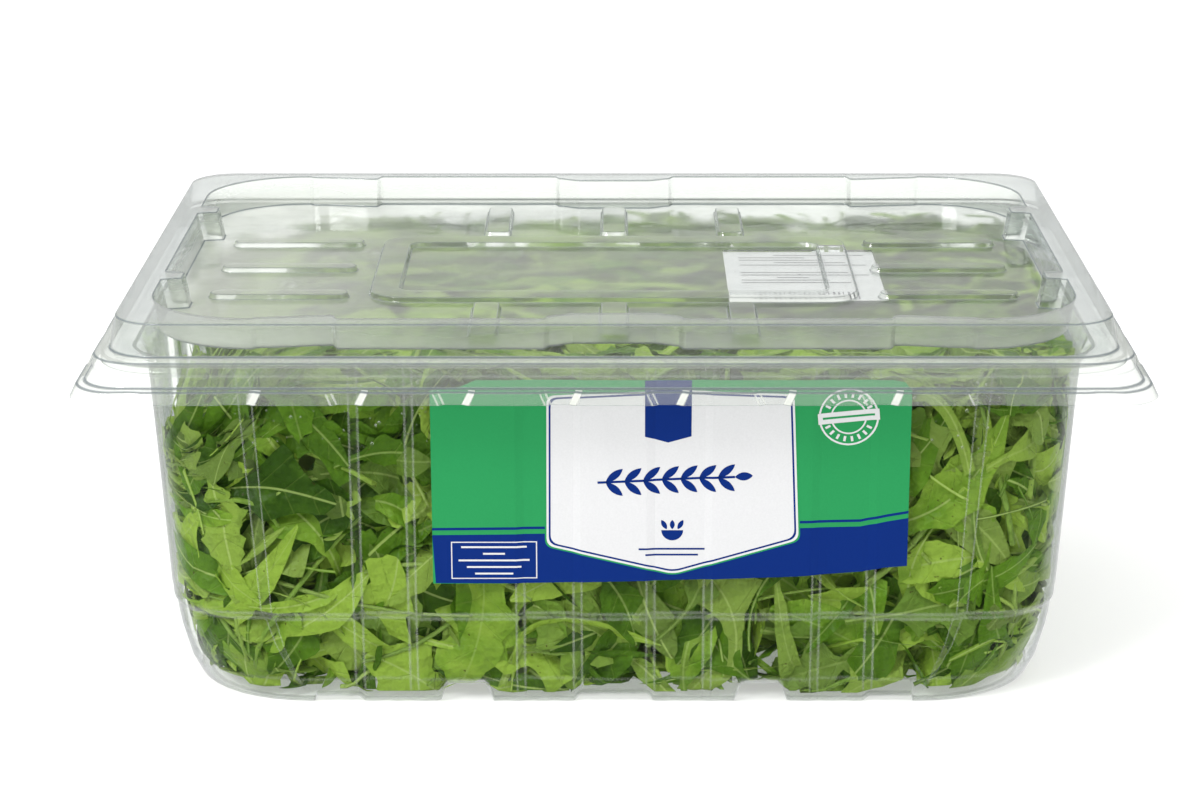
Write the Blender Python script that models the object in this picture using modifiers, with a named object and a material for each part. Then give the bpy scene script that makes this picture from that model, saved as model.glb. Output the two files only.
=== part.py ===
"""Clear salad tub: a fluted tray packed with rocket leaves, a press-on lid and two stuck-on labels.

The tub stands on its feet at z = 0, centred on x = y = 0, with the long labelled wall towards -Y.
All sizes are metres. Both plastic pieces are lofted through rings, each a rounded rectangle of its
own size, so one list of rings is the section of the whole wall.
"""
import math
import random

import bmesh
import bpy
from mathutils import Vector, noise

# Driving dimensions
RIM_X = 0.180  # half length of the lid's raised rim
RIM_Y = 0.130  # half width of the same rim
LID_TOP = 0.1516  # height of the lid's rim above the feet
RECESS_FLOOR = 0.1396  # top face of the lid's sunken panel
SKIRT_OUT = 0.015  # how far the lid's skirt flares past the rim
SKIRT_BOTTOM = 0.1252
TAB_OUT = 0.0012  # how far the tabs along the skirt's edge stand out from the gaps between them
FILM = 0.0006  # thickness of the formed plastic
GAP = 0.0003  # air between neighbouring pieces

BODY_IN = 0.0072  # how far inside the rim the tray's wall starts
BODY_TOP = 0.124
DRAFT = 0.0574  # inward run of the wall for each metre down
STEP_Z = 0.036  # height of the small ledge round the tray's lower wall
STEP_IN = 0.0010
FLUTE_DEPTH = 0.0020
FLOOR_Z = 0.0055

PANEL_EMBOSS = 0.0025  # height of the raised shapes on the lid's panel
LABEL_THICK = 0.00025
SEED = 25

# Stations along the walls, where folds in the plastic start and end. A corner has the shares of the
# straight run before it, the steps of its arc, and the shares of the straight run after it.
TRAY_LONG = (0, 0.012, 0.015, 0.033, 0.036, 0.045, 0.048, 0.062, 0.065, 0.073, 0.076, 0.093, 0.096, 0.108)
TRAY_SHORT = (0, 0.012, 0.015, 0.033, 0.036, 0.060)
TRAY_CORNER = ((0.64, 0.73, 1.0), 5, (0.27, 0.36))
LID_LONG = (0, 0.0126, 0.0146, 0.0234, 0.0254, 0.0506, 0.0526, 0.0614, 0.0634, 0.0886, 0.0906, 0.0994,
            0.1014, 0.1266, 0.1286)
LID_SHORT = (0, 0.0126, 0.0146, 0.0234, 0.0254, 0.0506, 0.0526, 0.0614, 0.0634)
LID_CORNER = ((0.20, 0.24, 1.0), 5, ())


def clear_scene():
    for ob in list(bpy.data.objects):
        bpy.data.objects.remove(ob, do_unlink=True)


def new_collection(name):
    collection = bpy.data.collections.new(name)
    bpy.context.scene.collection.children.link(collection)
    return collection


def plastic(name, colour, roughness, alpha=1.0):
    material = bpy.data.materials.new(name)
    material.use_nodes = True
    shader = material.node_tree.nodes["Principled BSDF"]
    shader.inputs["Base Color"].default_value = (*colour, 1.0)
    shader.inputs["Roughness"].default_value = roughness
    shader.inputs["Metallic"].default_value = 0.0
    shader.inputs["Alpha"].default_value = alpha
    return material


def new_object(name, bm, collection, material=None):
    mesh = bpy.data.meshes.new(name)
    bm.to_mesh(mesh)
    bm.free()
    ob = bpy.data.objects.new(name, mesh)
    if material:
        mesh.materials.append(material)
    collection.objects.link(ob)
    return ob


def thicken(ob, thickness, offset):
    solidify = ob.modifiers.new("Film", "SOLIDIFY")
    solidify.thickness = thickness
    solidify.offset = offset
    solidify.use_even_offset = False
    solidify.thickness_clamp = 0.0


def piecewise(knots, value):
    """Straight-line reading of a list of (place, height) knots."""
    for (a, low), (b, high) in zip(knots, knots[1:]):
        if value <= b:
            return low + (high - low) * max(0.0, value - a) / (b - a)
    return knots[-1][1]


def ring_quarter(half_x, half_y, radius, long_stations, short_stations, corner):
    """Quarter of a rounded rectangle, from the middle of a long side to the middle of a short side.

    Each entry is the point, its outward direction, the side it is on and its place along that side,
    which for a corner is the count of its points.
    """
    before, arc_steps, after = corner
    arc_x, arc_y = half_x - radius, half_y - radius
    run_x = arc_x - long_stations[-1]
    run_y = arc_y - short_stations[-1]
    turns = [math.pi / 2 * step / arc_steps for step in range(1, arc_steps + 1)]
    places = [((long_stations[-1] + run_x * share, half_y), (0, 1)) for share in before]
    places += [((arc_x + radius * math.sin(turn), arc_y + radius * math.cos(turn)),
                (math.sin(turn), math.cos(turn))) for turn in turns]
    places += [((half_x, arc_y - run_y * share), (1, 0)) for share in after]
    quarter = [((x, half_y), (0, 1), "long", x) for x in long_stations]
    quarter += [(point, out, "corner", count) for count, (point, out) in enumerate(places, 1)]
    quarter += [((half_x, y), (1, 0), "short", y) for y in reversed(short_stations)]
    return quarter


def ring_points(quarter, z, outward=None, raised=None):
    """Whole ring from its quarter; outward and raised read (side, place) and move a point out or up."""
    points = []
    for (x, y), (nx, ny), side, place in quarter:
        move = outward(side, place) if outward else 0.0
        lift = raised(side, place) if raised else 0.0
        points.append((x + nx * move, y + ny * move, z + lift))
    half = points + [(x, -y, z) for x, y, z in reversed(points[:-1])]
    return half + [(-x, y, z) for x, y, z in reversed(half[1:-1])]


def first_ring(bm, points):
    ring = [bm.verts.new(p) for p in points]
    for a, b in zip(ring, ring[1:] + ring[:1]):
        bm.edges.new((a, b))
    return ring


def next_ring(bm, ring, points):
    """Extrude a closed ring of vertices and lay the new ring on the given points."""
    edges = [bm.edges.get((a, b)) for a, b in zip(ring, ring[1:] + ring[:1])]
    out = bmesh.ops.extrude_edge_only(bm, edges=edges)
    fresh = {v for v in out["geom"] if isinstance(v, bmesh.types.BMVert)}
    moved = []
    for vert, point in zip(ring, points):
        twin = next(e.other_vert(vert) for e in vert.link_edges if e.other_vert(vert) in fresh)
        twin.co = point
        moved.append(twin)
    return moved


def ring_edges(bm, ring):
    return [bm.edges.get((a, b)) for a, b in zip(ring, ring[1:] + ring[:1])]


def turn_faces(bm, towards):
    """Turn all faces the same way, so that the one furthest in a direction faces that way."""
    bmesh.ops.recalc_face_normals(bm, faces=bm.faces)
    end = max(bm.faces, key=lambda f: f.calc_center_median().dot(towards))
    if end.normal.dot(towards) < 0:
        bmesh.ops.reverse_faces(bm, faces=bm.faces)


def body_inset(z):
    """Distance from the lid's rim line in to the tray's wall at a height."""
    return BODY_IN + DRAFT * (BODY_TOP - z)


# Tray

def flute(side, place):
    """Grooves down the long and short walls, and corners set back from the flat panels."""
    if side == "long":
        knots = ((0, 0), (0.012, 0), (0.015, -1), (0.033, -1), (0.036, 0), (0.073, 0), (0.076, -1),
                 (0.093, -1), (0.096, 0))
    elif side == "short":
        knots = ((0, 0), (0.012, 0), (0.015, -1), (0.033, -1), (0.036, 0))
    else:
        knots = ((1, 0), (2, -1), (9, -1), (10, 0))
    return FLUTE_DEPTH * piecewise(knots, place)


def foot_lift(side, place):
    """Arches between the feet: low ones in the middle and outer bays, a tall one between the feet."""
    if side == "long":
        knots = ((0, 0.0027), (0.012, 0.0027), (0.015, 0), (0.045, 0), (0.048, 0.007), (0.062, 0.007),
                 (0.065, 0), (0.093, 0), (0.096, 0.002))
    elif side == "short":
        knots = ((0, 0.0027), (0.012, 0.0027), (0.015, 0), (0.036, 0), (0.060, 0.002))
    else:
        knots = ((1, 0.002), (2, 0), (9, 0), (10, 0.002))
    return piecewise(knots, place)


def make_tray(collection):
    step_in = body_inset(STEP_Z)
    # distance inside the rim line, height, corner radius, flutes on or off, feet on or off
    section = (
        (-0.0056, 0.1342, 0.024, 0, 0),
        (-0.0056, 0.1371, 0.024, 0, 0),
        (0.0050, 0.1371, 0.023, 0, 0),
        (body_inset(0.129), 0.129, 0.026, 1, 0),
        (step_in, STEP_Z + 0.001, 0.029, 1, 0),
        (step_in + STEP_IN, STEP_Z - 0.001, 0.030, 1, 0),
        (body_inset(0.010) + 0.0022, 0.010, 0.041, 1, 0),
        (0.0205, 0.0, 0.046, 0, 1),
        (0.0245, 0.0, 0.042, 0, 1),
        (0.0290, FLOOR_Z, 0.038, 0, 0.2),
    )
    bm = bmesh.new()
    ring = None
    for inset, z, radius, fluted, footed in section:
        quarter = ring_quarter(RIM_X - inset, RIM_Y - inset, radius, TRAY_LONG, TRAY_SHORT, TRAY_CORNER)
        points = ring_points(quarter, z, lambda side, place: fluted * flute(side, place),
                             lambda side, place: footed * foot_lift(side, place))
        ring = next_ring(bm, ring, points) if ring else first_ring(bm, points)
    bm.faces.new(ring)
    turn_faces(bm, Vector((0, 0, -1)))
    tray = new_object("tray", bm, collection, plastic("clear_tray_plastic", (0.93, 0.96, 0.95), 0.08, 0.3))
    thicken(tray, FILM, -1)
    return tray


# Lid

def notch(side, place):
    """Tabs round the skirt stand out; the short gaps between them, a pitch of 38 mm, stay back."""
    if side == "corner":
        return float(place > 1)
    knots = ((0, 1), (0.0126, 1), (0.0146, 0), (0.0234, 0), (0.0254, 1), (0.0506, 1), (0.0526, 0),
             (0.0614, 0), (0.0634, 1), (0.0886, 1), (0.0906, 0), (0.0994, 0), (0.1014, 1), (0.1266, 1),
             (0.1286, 0))
    return piecewise(knots, place)


def rim_swell(side, place):
    """Extra width of the flat rim: a wide pad in the middle, a stepped one near each end, side lugs."""
    if side == "long":
        knots = ((0, 0.008), (0.0146, 0.008), (0.0234, 0.004), (0.0254, 0), (0.0994, 0), (0.1014, 0.005),
                 (0.1266, 0.002), (0.1286, 0.0015))
        return -piecewise(knots, place)
    if side == "short":
        knots = ((0, 0), (0.0506, 0), (0.0526, 0.0075), (0.0614, 0.0075), (0.0634, 0))
        return -piecewise(knots, place)
    return 0.0


def rounded_outline(centre_x, centre_y, half_x, half_y, radius, arc_steps):
    """Points of a rounded rectangle, anticlockwise."""
    points = []
    for quadrant, (sx, sy) in enumerate(((1, 1), (-1, 1), (-1, -1), (1, -1))):
        for step in range(arc_steps + 1):
            turn = math.pi / 2 * (quadrant + step / arc_steps)
            points.append((centre_x + sx * (half_x - radius) + radius * math.cos(turn),
                           centre_y + sy * (half_y - radius) + radius * math.sin(turn)))
    return points


def at_height(points, z):
    return [(x, y, z) for x, y in points]


def emboss(bm, centre_x, centre_y, half_x, half_y, radius, arc_steps):
    """Raised pad on the lid's panel with sloped sides; gives back the edges of its foot."""
    slope = 0.001
    foot = first_ring(bm, at_height(rounded_outline(centre_x, centre_y, half_x, half_y, radius, arc_steps),
                                    RECESS_FLOOR))
    top_points = rounded_outline(centre_x, centre_y, half_x - slope, half_y - slope, radius - slope, arc_steps)
    foot_edges = ring_edges(bm, foot)
    top = next_ring(bm, foot, at_height(top_points, RECESS_FLOOR + PANEL_EMBOSS))
    bm.faces.new(top)
    return foot_edges


def racetrack(bm):
    """Raised ring round the middle of the panel; gives back the edges of its outer foot."""
    outer_x, outer_y, inner_x, inner_y, slope, steps = 0.094, 0.053, 0.0817, 0.040, 0.001, 3
    top_z = RECESS_FLOOR + PANEL_EMBOSS
    foot = first_ring(bm, at_height(rounded_outline(0, 0, outer_x, outer_y, 0.014, steps), RECESS_FLOOR))
    foot_edges = ring_edges(bm, foot)
    top_out = rounded_outline(0, 0, outer_x - slope, outer_y - slope, 0.013, steps)
    top_in = rounded_outline(0, 0, inner_x + slope, inner_y + slope, 0.005, steps)
    foot_in = rounded_outline(0, 0, inner_x, inner_y, 0.004, steps)
    ring = next_ring(bm, foot, at_height(top_out, top_z))
    ring = next_ring(bm, ring, at_height(top_in, top_z))
    ring = next_ring(bm, ring, at_height(foot_in, RECESS_FLOOR))
    bm.faces.new(ring)
    return foot_edges


def make_lid(collection):
    # distance inside the rim line, height, corner radius, how far the tabs stand out
    section = (
        (TAB_OUT - SKIRT_OUT, SKIRT_BOTTOM, 0.014, TAB_OUT),
        (-0.0121, 0.1295, 0.015, 0.75 * TAB_OUT),
        (-0.0078, 0.1340, 0.017, 0),
        (-0.0074, 0.1386, 0.017, 0),
        (-0.0022, 0.1393, 0.018, 0),
        (-0.0003, LID_TOP - 0.0010, 0.018, 0),
        (0.0007, LID_TOP, 0.018, 0),
    )
    bm = bmesh.new()
    ring = None
    for inset, z, radius, tab in section:
        quarter = ring_quarter(RIM_X - inset, RIM_Y - inset, radius, LID_LONG, LID_SHORT, LID_CORNER)
        points = ring_points(quarter, z, lambda side, place: tab * notch(side, place))
        ring = next_ring(bm, ring, points) if ring else first_ring(bm, points)
    # the recess: wide round corners, a rim 10 mm wide at the ends and 7 mm along the long sides
    for draft, z, radius in ((0, LID_TOP, 0.039), (0.0022, RECESS_FLOOR, 0.037)):
        quarter = ring_quarter(RIM_X - 0.010 - draft, RIM_Y - 0.007 - draft, radius, LID_LONG, LID_SHORT,
                               LID_CORNER)
        ring = next_ring(bm, ring, ring_points(quarter, z, rim_swell))
    floor_edges = ring_edges(bm, ring)
    for side in (-1, 1):
        for y in (-0.0435, 0.0, 0.0435):
            floor_edges += emboss(bm, side * 0.128, y, 0.027, 0.0048, 0.0047, 2)
        for x in (-0.048, 0.0, 0.048):
            floor_edges += emboss(bm, x, side * 0.0830, 0.0056, 0.0245, 0.003, 1)
    floor_edges += racetrack(bm)
    bmesh.ops.triangle_fill(bm, edges=floor_edges, use_beauty=True, normal=(0, 0, 1))
    turn_faces(bm, Vector((0, 0, 1)))
    lid = new_object("lid", bm, collection, plastic("clear_lid_plastic", (0.95, 0.97, 0.97), 0.06, 0.25))
    thicken(lid, FILM, -1)
    return lid


# Leaves

HEAP_LOW = FLOOR_Z + FILM + 0.0016
HEAP_HIGH = 0.1335
WALL_CLEARANCE = 0.0036  # from the tray's outer face in to the nearest leaf: film, flute and air
LEAF_THICK = 0.0011
LEAF_STATIONS = 5
CORE_IN = 0.0048  # how far behind the outermost leaves the packed core lies
WALL_LEVELS = (0.024, 0.052, 0.080, 0.108)  # heights of the rows of leaves on the walls
TOP_ROWS, TOP_COLUMNS = 3, 3


def heap_limit(z, extra=0.0):
    """Half sizes and corner radius of the space that the leaves may fill at a height."""
    inset = body_inset(z) + WALL_CLEARANCE + extra
    if z < STEP_Z:
        inset += STEP_IN + 0.0095 * ((STEP_Z - z) / STEP_Z) ** 2
    return RIM_X - inset, RIM_Y - inset, 0.030 + 0.014 * max(0.0, 1 - z / STEP_Z)


def hold_inside(point, extra=0.0):
    """Press a point back inside the tray, as the film presses the leaves."""
    z = min(max(point.z, HEAP_LOW + extra), HEAP_HIGH - extra)
    half_x, half_y, radius = heap_limit(z, extra)
    beyond_x = abs(point.x) - (half_x - radius)
    beyond_y = abs(point.y) - (half_y - radius)
    x, y = abs(point.x), abs(point.y)
    if beyond_x > 0 and beyond_y > 0:
        reach = math.hypot(beyond_x, beyond_y)
        if reach > radius:
            x = half_x - radius + beyond_x * radius / reach
            y = half_y - radius + beyond_y * radius / reach
    x, y = min(x, half_x), min(y, half_y)
    return Vector((math.copysign(x, point.x), math.copysign(y, point.y), z))


def make_core(collection):
    """Lumpy block of packed leaves that carries the ones that show."""
    levels = (HEAP_LOW + 0.0015, 0.020, 0.045, 0.070, 0.095, 0.117)
    bm = bmesh.new()
    ring = None
    for z in levels:
        half_x, half_y, radius = heap_limit(z, CORE_IN)
        outline = rounded_outline(0, 0, half_x, half_y, radius, 2)
        points = []
        sides = list(zip(outline, outline[1:] + outline[:1]))
        for (ax, ay), (bx, by) in sides:
            parts = max(1, round(math.hypot(bx - ax, by - ay) / 0.045))
            points += [(ax + (bx - ax) * i / parts, ay + (by - ay) * i / parts, z) for i in range(parts)]
        lumpy = []
        for x, y, height in points:
            bump = 1 - 0.012 * (1 + noise.noise(Vector((x, y, height)) * 31.0))
            lumpy.append((x * bump, y * bump, height))
        ring = next_ring(bm, ring, lumpy) if ring else first_ring(bm, lumpy)
        if z == levels[0]:
            bm.faces.new(ring)
    top = next_ring(bm, ring, [(v.co.x * 0.62, v.co.y * 0.6, HEAP_HIGH - 0.006) for v in ring])
    bm.faces.new(top)
    bmesh.ops.triangulate(bm, faces=bm.faces)
    bmesh.ops.recalc_face_normals(bm, faces=bm.faces)
    return new_object("salad_leaves", bm, collection, plastic("rocket_green", (0.13, 0.30, 0.04), 0.55))


def leaf_width(t, lobes, half_width):
    """Half width along a leaf: a narrow stalk, then a blade that swells and pinches into lobes."""
    stalk = 0.0016
    if t < 0.30:
        return stalk
    blade = (t - 0.30) / 0.70
    return stalk + half_width * math.sin(math.pi * (0.10 + 0.82 * blade)) * (1 - lobes * (blade > 0.2) * 0.45)


def make_leaf(collection, rng, index, centre, across, up, out, length, half_width):
    """One thin wavy leaf laid near a wall: across and up span the wall, out points out of the heap."""
    heading = rng.uniform(0, 2 * math.pi)
    along = math.cos(heading) * across + math.sin(heading) * up
    beside = -math.sin(heading) * across + math.cos(heading) * up
    wave, curl, lean = rng.uniform(0.001, 0.003), rng.uniform(-0.004, 0.004), rng.uniform(-0.10, 0.10)
    phase = rng.uniform(0, 6)
    bm = bmesh.new()
    rows = []
    for i in range(LEAF_STATIONS + 1):
        t = i / LEAF_STATIONS
        width = leaf_width(t, i % 2, half_width)
        row = []
        for side in (-1, 0, 1):
            depth = (wave * math.sin(5 * t + phase + side) + curl * side * side * t
                     + lean * (t - 0.5) * length - 0.004 * t * (1 - t))
            point = centre + along * (t - 0.5) * length + beside * side * width + out * depth
            row.append(bm.verts.new(hold_inside(point, LEAF_THICK)))
        rows.append(row)
    for low, high in zip(rows, rows[1:]):
        for a in (0, 1):
            bm.faces.new((low[a], low[a + 1], high[a + 1], high[a]))
    bmesh.ops.triangulate(bm, faces=bm.faces)
    leaf = new_object(f"leaf_{index}", bm, collection)
    thicken(leaf, LEAF_THICK, 0)
    leaf.hide_render = True
    leaf.display_type = "WIRE"


def lay_leaves(collection, rng):
    """Leaves pressed against the four walls and lying over the top of the heap."""
    x_axis, y_axis, z_axis = Vector((1, 0, 0)), Vector((0, 1, 0)), Vector((0, 0, 1))
    index = 0
    for out, across, columns, reach in ((-y_axis, x_axis, 4, 0.150), (y_axis, x_axis, 4, 0.150),
                                        (x_axis, y_axis, 3, 0.095), (-x_axis, y_axis, 3, 0.095)):
        for level in WALL_LEVELS:
            for column in range(columns):
                place = reach * (2 * (column + 0.5) / columns - 1) + rng.uniform(-0.012, 0.012)
                z = level + rng.uniform(-0.010, 0.010)
                half_x, half_y, _ = heap_limit(z)
                wall = half_x if out.x else half_y
                centre = across * place + out * (wall - rng.uniform(0.0015, 0.0040)) + z_axis * z
                make_leaf(collection, rng, index, centre, across, z_axis, out, rng.uniform(0.060, 0.090),
                          rng.uniform(0.009, 0.015))
                index += 1
    for row in range(TOP_ROWS):
        for column in range(TOP_COLUMNS):
            centre = Vector((0.120 * (2 * (column + 0.5) / TOP_COLUMNS - 1) + rng.uniform(-0.012, 0.012),
                             0.078 * (2 * (row + 0.5) / TOP_ROWS - 1), HEAP_HIGH - rng.uniform(0.003, 0.006)))
            make_leaf(collection, rng, index, centre, x_axis, y_axis, z_axis, rng.uniform(0.065, 0.095),
                      rng.uniform(0.010, 0.016))
            index += 1


def keep_largest_piece(mesh):
    """Drop scraps that touch nothing, and the skins of hollows sealed inside."""
    bm = bmesh.new()
    bm.from_mesh(mesh)
    unseen = set(bm.verts)
    pieces = []
    while unseen:
        stack = [unseen.pop()]
        piece = set(stack)
        while stack:
            for edge in stack.pop().link_edges:
                for vert in edge.verts:
                    if vert in unseen:
                        unseen.remove(vert)
                        piece.add(vert)
                        stack.append(vert)
        pieces.append(piece)
    largest = max(pieces, key=len)
    bmesh.ops.delete(bm, geom=[v for v in bm.verts if v not in largest], context="VERTS")
    bm.to_mesh(mesh)
    bm.free()


def make_leaves(parts, helpers):
    rng = random.Random(SEED)
    noise.seed_set(SEED)
    heap = make_core(parts)
    lay_leaves(helpers, rng)
    union = heap.modifiers.new("Union", "BOOLEAN")
    union.operation = "UNION"
    union.operand_type = "COLLECTION"
    union.collection = helpers
    union.solver = "MANIFOLD"
    joined = bpy.data.meshes.new_from_object(heap.evaluated_get(bpy.context.evaluated_depsgraph_get()))
    heap.modifiers.clear()
    heap.data = joined
    for leaf in list(helpers.objects):
        bpy.data.objects.remove(leaf, do_unlink=True)
    keep_largest_piece(joined)
    return heap


# Labels

LABEL_LEFT, LABEL_RIGHT = -0.0665, 0.1075
LABEL_LOW, LABEL_HIGH = 0.0495, 0.1285
LABEL_END_RISE = 0.0060  # how much higher the lower edge is at the right end
TOP_LABEL = (0.044, -0.048, 0.1045, 0.035)  # low and high corner of the small label in plan


def wall_y(z):
    """Outer face of the front wall's flat panels."""
    return -(RIM_Y - body_inset(z))


def make_front_label(collection):
    """Label stuck across the front wall's panels, with a low shoulder at its top left corner."""
    outline = ((LABEL_LEFT + 0.003, LABEL_LOW), (0.0910, LABEL_LOW + 0.0025),
               (LABEL_RIGHT - 0.002, LABEL_LOW + LABEL_END_RISE), (LABEL_RIGHT, LABEL_LOW + LABEL_END_RISE + 0.002),
               (LABEL_RIGHT, LABEL_HIGH - 0.0045), (LABEL_RIGHT - 0.006, LABEL_HIGH),
               (LABEL_LEFT + 0.016, LABEL_HIGH), (LABEL_LEFT + 0.010, LABEL_HIGH - 0.0030),
               (LABEL_LEFT, LABEL_HIGH - 0.0045), (LABEL_LEFT, LABEL_LOW + 0.003))
    bm = bmesh.new()
    ring = [bm.verts.new((x, wall_y(z) - GAP, z)) for x, z in outline]
    bm.faces.new(ring)
    bmesh.ops.triangulate(bm, faces=bm.faces)
    turn_faces(bm, Vector((0, -1, 0)))
    label = new_object("front_label", bm, collection, plastic("printed_label", (0.03, 0.38, 0.11), 0.35))
    thicken(label, LABEL_THICK, 1)
    return label


def make_top_label(collection):
    """Small white label stuck under the lid's panel."""
    low_x, low_y, high_x, high_y = TOP_LABEL
    z = RECESS_FLOOR - FILM - GAP
    bm = bmesh.new()
    ring = [bm.verts.new((x, y, z)) for x, y in ((low_x, low_y), (high_x, low_y), (high_x, high_y),
                                                 (low_x, high_y))]
    bm.faces.new(ring)
    label = new_object("top_label", bm, collection, plastic("white_label_paper", (0.85, 0.85, 0.85), 0.5))
    thicken(label, LABEL_THICK, -1)
    return label


def main():
    clear_scene()
    parts = new_collection("salad_tub")
    helpers = new_collection("leaves_to_join")
    make_tray(parts)
    make_lid(parts)
    make_leaves(parts, helpers)
    make_front_label(parts)
    make_top_label(parts)


main()
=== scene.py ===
"""Looks of the clear salad tub: formed film with fine folds, a heap of real rocket leaves, printed labels."""

import functools
import math

import bmesh
import bpy
import numpy as np
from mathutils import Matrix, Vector, noise


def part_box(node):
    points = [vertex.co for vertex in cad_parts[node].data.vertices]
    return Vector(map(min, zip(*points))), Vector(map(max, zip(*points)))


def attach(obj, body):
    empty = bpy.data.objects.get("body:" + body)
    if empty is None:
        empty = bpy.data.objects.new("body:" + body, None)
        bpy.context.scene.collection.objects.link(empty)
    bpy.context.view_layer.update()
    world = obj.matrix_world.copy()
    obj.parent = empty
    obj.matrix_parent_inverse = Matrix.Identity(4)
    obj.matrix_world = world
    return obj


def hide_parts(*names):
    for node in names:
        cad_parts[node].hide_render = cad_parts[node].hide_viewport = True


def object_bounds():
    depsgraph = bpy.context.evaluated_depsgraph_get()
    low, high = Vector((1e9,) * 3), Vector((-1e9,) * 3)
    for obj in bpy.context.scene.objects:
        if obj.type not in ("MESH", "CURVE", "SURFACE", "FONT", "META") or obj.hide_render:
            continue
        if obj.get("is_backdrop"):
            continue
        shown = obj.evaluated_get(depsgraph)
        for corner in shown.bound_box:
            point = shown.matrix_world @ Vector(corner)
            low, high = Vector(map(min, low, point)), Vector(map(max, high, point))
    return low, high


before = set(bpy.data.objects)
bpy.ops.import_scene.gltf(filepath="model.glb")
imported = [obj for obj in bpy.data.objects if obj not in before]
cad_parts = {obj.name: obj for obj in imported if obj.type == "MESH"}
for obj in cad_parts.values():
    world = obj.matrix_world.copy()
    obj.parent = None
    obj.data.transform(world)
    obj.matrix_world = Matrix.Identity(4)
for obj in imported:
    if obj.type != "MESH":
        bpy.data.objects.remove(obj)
cad_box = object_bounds()

# Sizes of the CAD model that the finer pieces follow, in metres
RIM_X, RIM_Y = 0.180, 0.130  # half length and width of the lid's raised rim
LID_TOP = 0.1516
RECESS_FLOOR = 0.1396
TAB_OUT = 0.0012
BODY_IN, BODY_TOP, DRAFT = 0.0072, 0.124, 0.0574
STEP_Z, STEP_IN = 0.036, 0.0010
FLUTE_DEPTH = 0.0020
FLOOR_Z = 0.0055
PANEL_EMBOSS = 0.0020
FILM = 0.00045  # the sheet is drawn as thin as the real one where it is stretched over the mould
HEAP_LOW, HEAP_HIGH = 0.0066, 0.1330
FOOT_IN = 0.0275  # how far inside the rim line the feet's inner walls stand
HEAP_GAP = 0.0030  # from the outside of the wall in to the outermost leaves
CORE_DEPTH = 0.0150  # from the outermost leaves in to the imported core
WALL_DROPS, PANEL_DROPS = 900, 500
LABEL_GAP = 0.0003
SEED = 7

rng = np.random.default_rng(SEED)
noise.seed_set(SEED)


# Small tools

def srgb(hex_colour):
    """Linear colour of an sRGB hex value."""
    values = [int(hex_colour[i:i + 2], 16) / 255 for i in (1, 3, 5)]
    return (*(v / 12.92 if v <= 0.04045 else ((v + 0.055) / 1.055) ** 2.4 for v in values), 1.0)


def add_node(tree, kind, links=None, **settings):
    """Add one node and give back its outputs; links gives each input a value or the output that feeds it."""
    node = tree.nodes.new("ShaderNode" + kind)
    for name, value in settings.items():
        setattr(node, name, value)
    for key, value in (links or {}).items():
        if isinstance(value, bpy.types.NodeSocket):
            tree.links.new(value, node.inputs[key])
        else:
            node.inputs[key].default_value = value
    return node.outputs


def new_material(name):
    """Empty material, and the function that adds nodes to it."""
    material = bpy.data.materials.new(name)
    material.use_nodes = True
    material.node_tree.nodes.clear()
    return material, functools.partial(add_node, material.node_tree)


def mottled(name, grain, detail, dark, light, roughness):
    """Matt material whose tone wanders between two colours from grain to grain."""
    material, add = new_material(name)
    place = add("TexCoord")["Object"]
    grains = add("TexNoise", {"Vector": place, "Scale": 1 / grain, "Detail": detail})["Fac"]
    tone = add("Mix", {"Factor": grains, 6: srgb(dark), 7: srgb(light)}, data_type="RGBA")[2]
    matt = add("BsdfPrincipled", {"Base Color": tone, "Roughness": roughness})[0]
    add("OutputMaterial", {"Surface": matt})
    return material


def mesh_from(name, bm):
    mesh = bpy.data.meshes.new(name)
    bm.to_mesh(mesh)
    bm.free()
    return mesh


def in_scene(name, data):
    """Object with this data, linked to the scene."""
    made = bpy.data.objects.new(name, data)
    bpy.context.scene.collection.objects.link(made)
    return made


def new_piece(name, shape, materials, node=None, smooth=True):
    """Object that rides on the tub's body and stands for a CAD node; its shape is a mesh or a bmesh."""
    mesh = mesh_from(name, shape) if isinstance(shape, bmesh.types.BMesh) else shape
    for material in materials:
        mesh.materials.append(material)
    mesh.shade_smooth() if smooth else mesh.shade_flat()
    piece = in_scene(name, mesh)
    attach(piece, "root")
    if node:
        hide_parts(node)
    return piece


def ramp_up(value, start, end):
    t = np.clip((value - start) / (end - start), 0, 1)
    return t * t * (3 - 2 * t)


# Lofted film: rings of points, each a rounded rectangle

def eased(knots, value):
    """Reading of a list of (place, height) knots with soft turns at each knot."""
    for (a, low), (b, high) in zip(knots, knots[1:]):
        if value <= b:
            t = max(0.0, value - a) / (b - a)
            return low + (high - low) * t * t * (3 - 2 * t)
    return knots[-1][1]


def curve(start, corner, end, steps):
    """Points along a short curve that leaves its start towards a corner and comes to its end from there."""
    return [(1 - t) ** 2 * start + 2 * t * (1 - t) * corner + t * t * end
            for t in (step / steps for step in range(steps + 1))]


def soften(section, reach, steps):
    """Section with each inner corner turned into a short curve that starts within reach of it.

    A last value is added to each row: how strongly the painted fold line shows there, 1 along a sharp fold.
    """
    rows = [np.array(row, float) for row in section]
    soft = [np.append(rows[0], 0.0)]
    for before, corner, after in zip(rows, rows[1:], rows[2:]):
        start, end = (corner + (other - corner) * min(0.45, reach / math.dist(other[:2], corner[:2]))
                      for other in (before, after))
        bend = Vector(corner[:2] - before[:2]).angle(Vector(after[:2] - corner[:2]))
        strength = min(1.0, bend / SHARP_BEND) ** 2
        for step, row in enumerate(curve(start, corner, end, steps)):
            soft.append(np.append(row, strength if 0 < step < steps else 0.0))
    return soft + [np.append(rows[-1], 0.0)]


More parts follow.
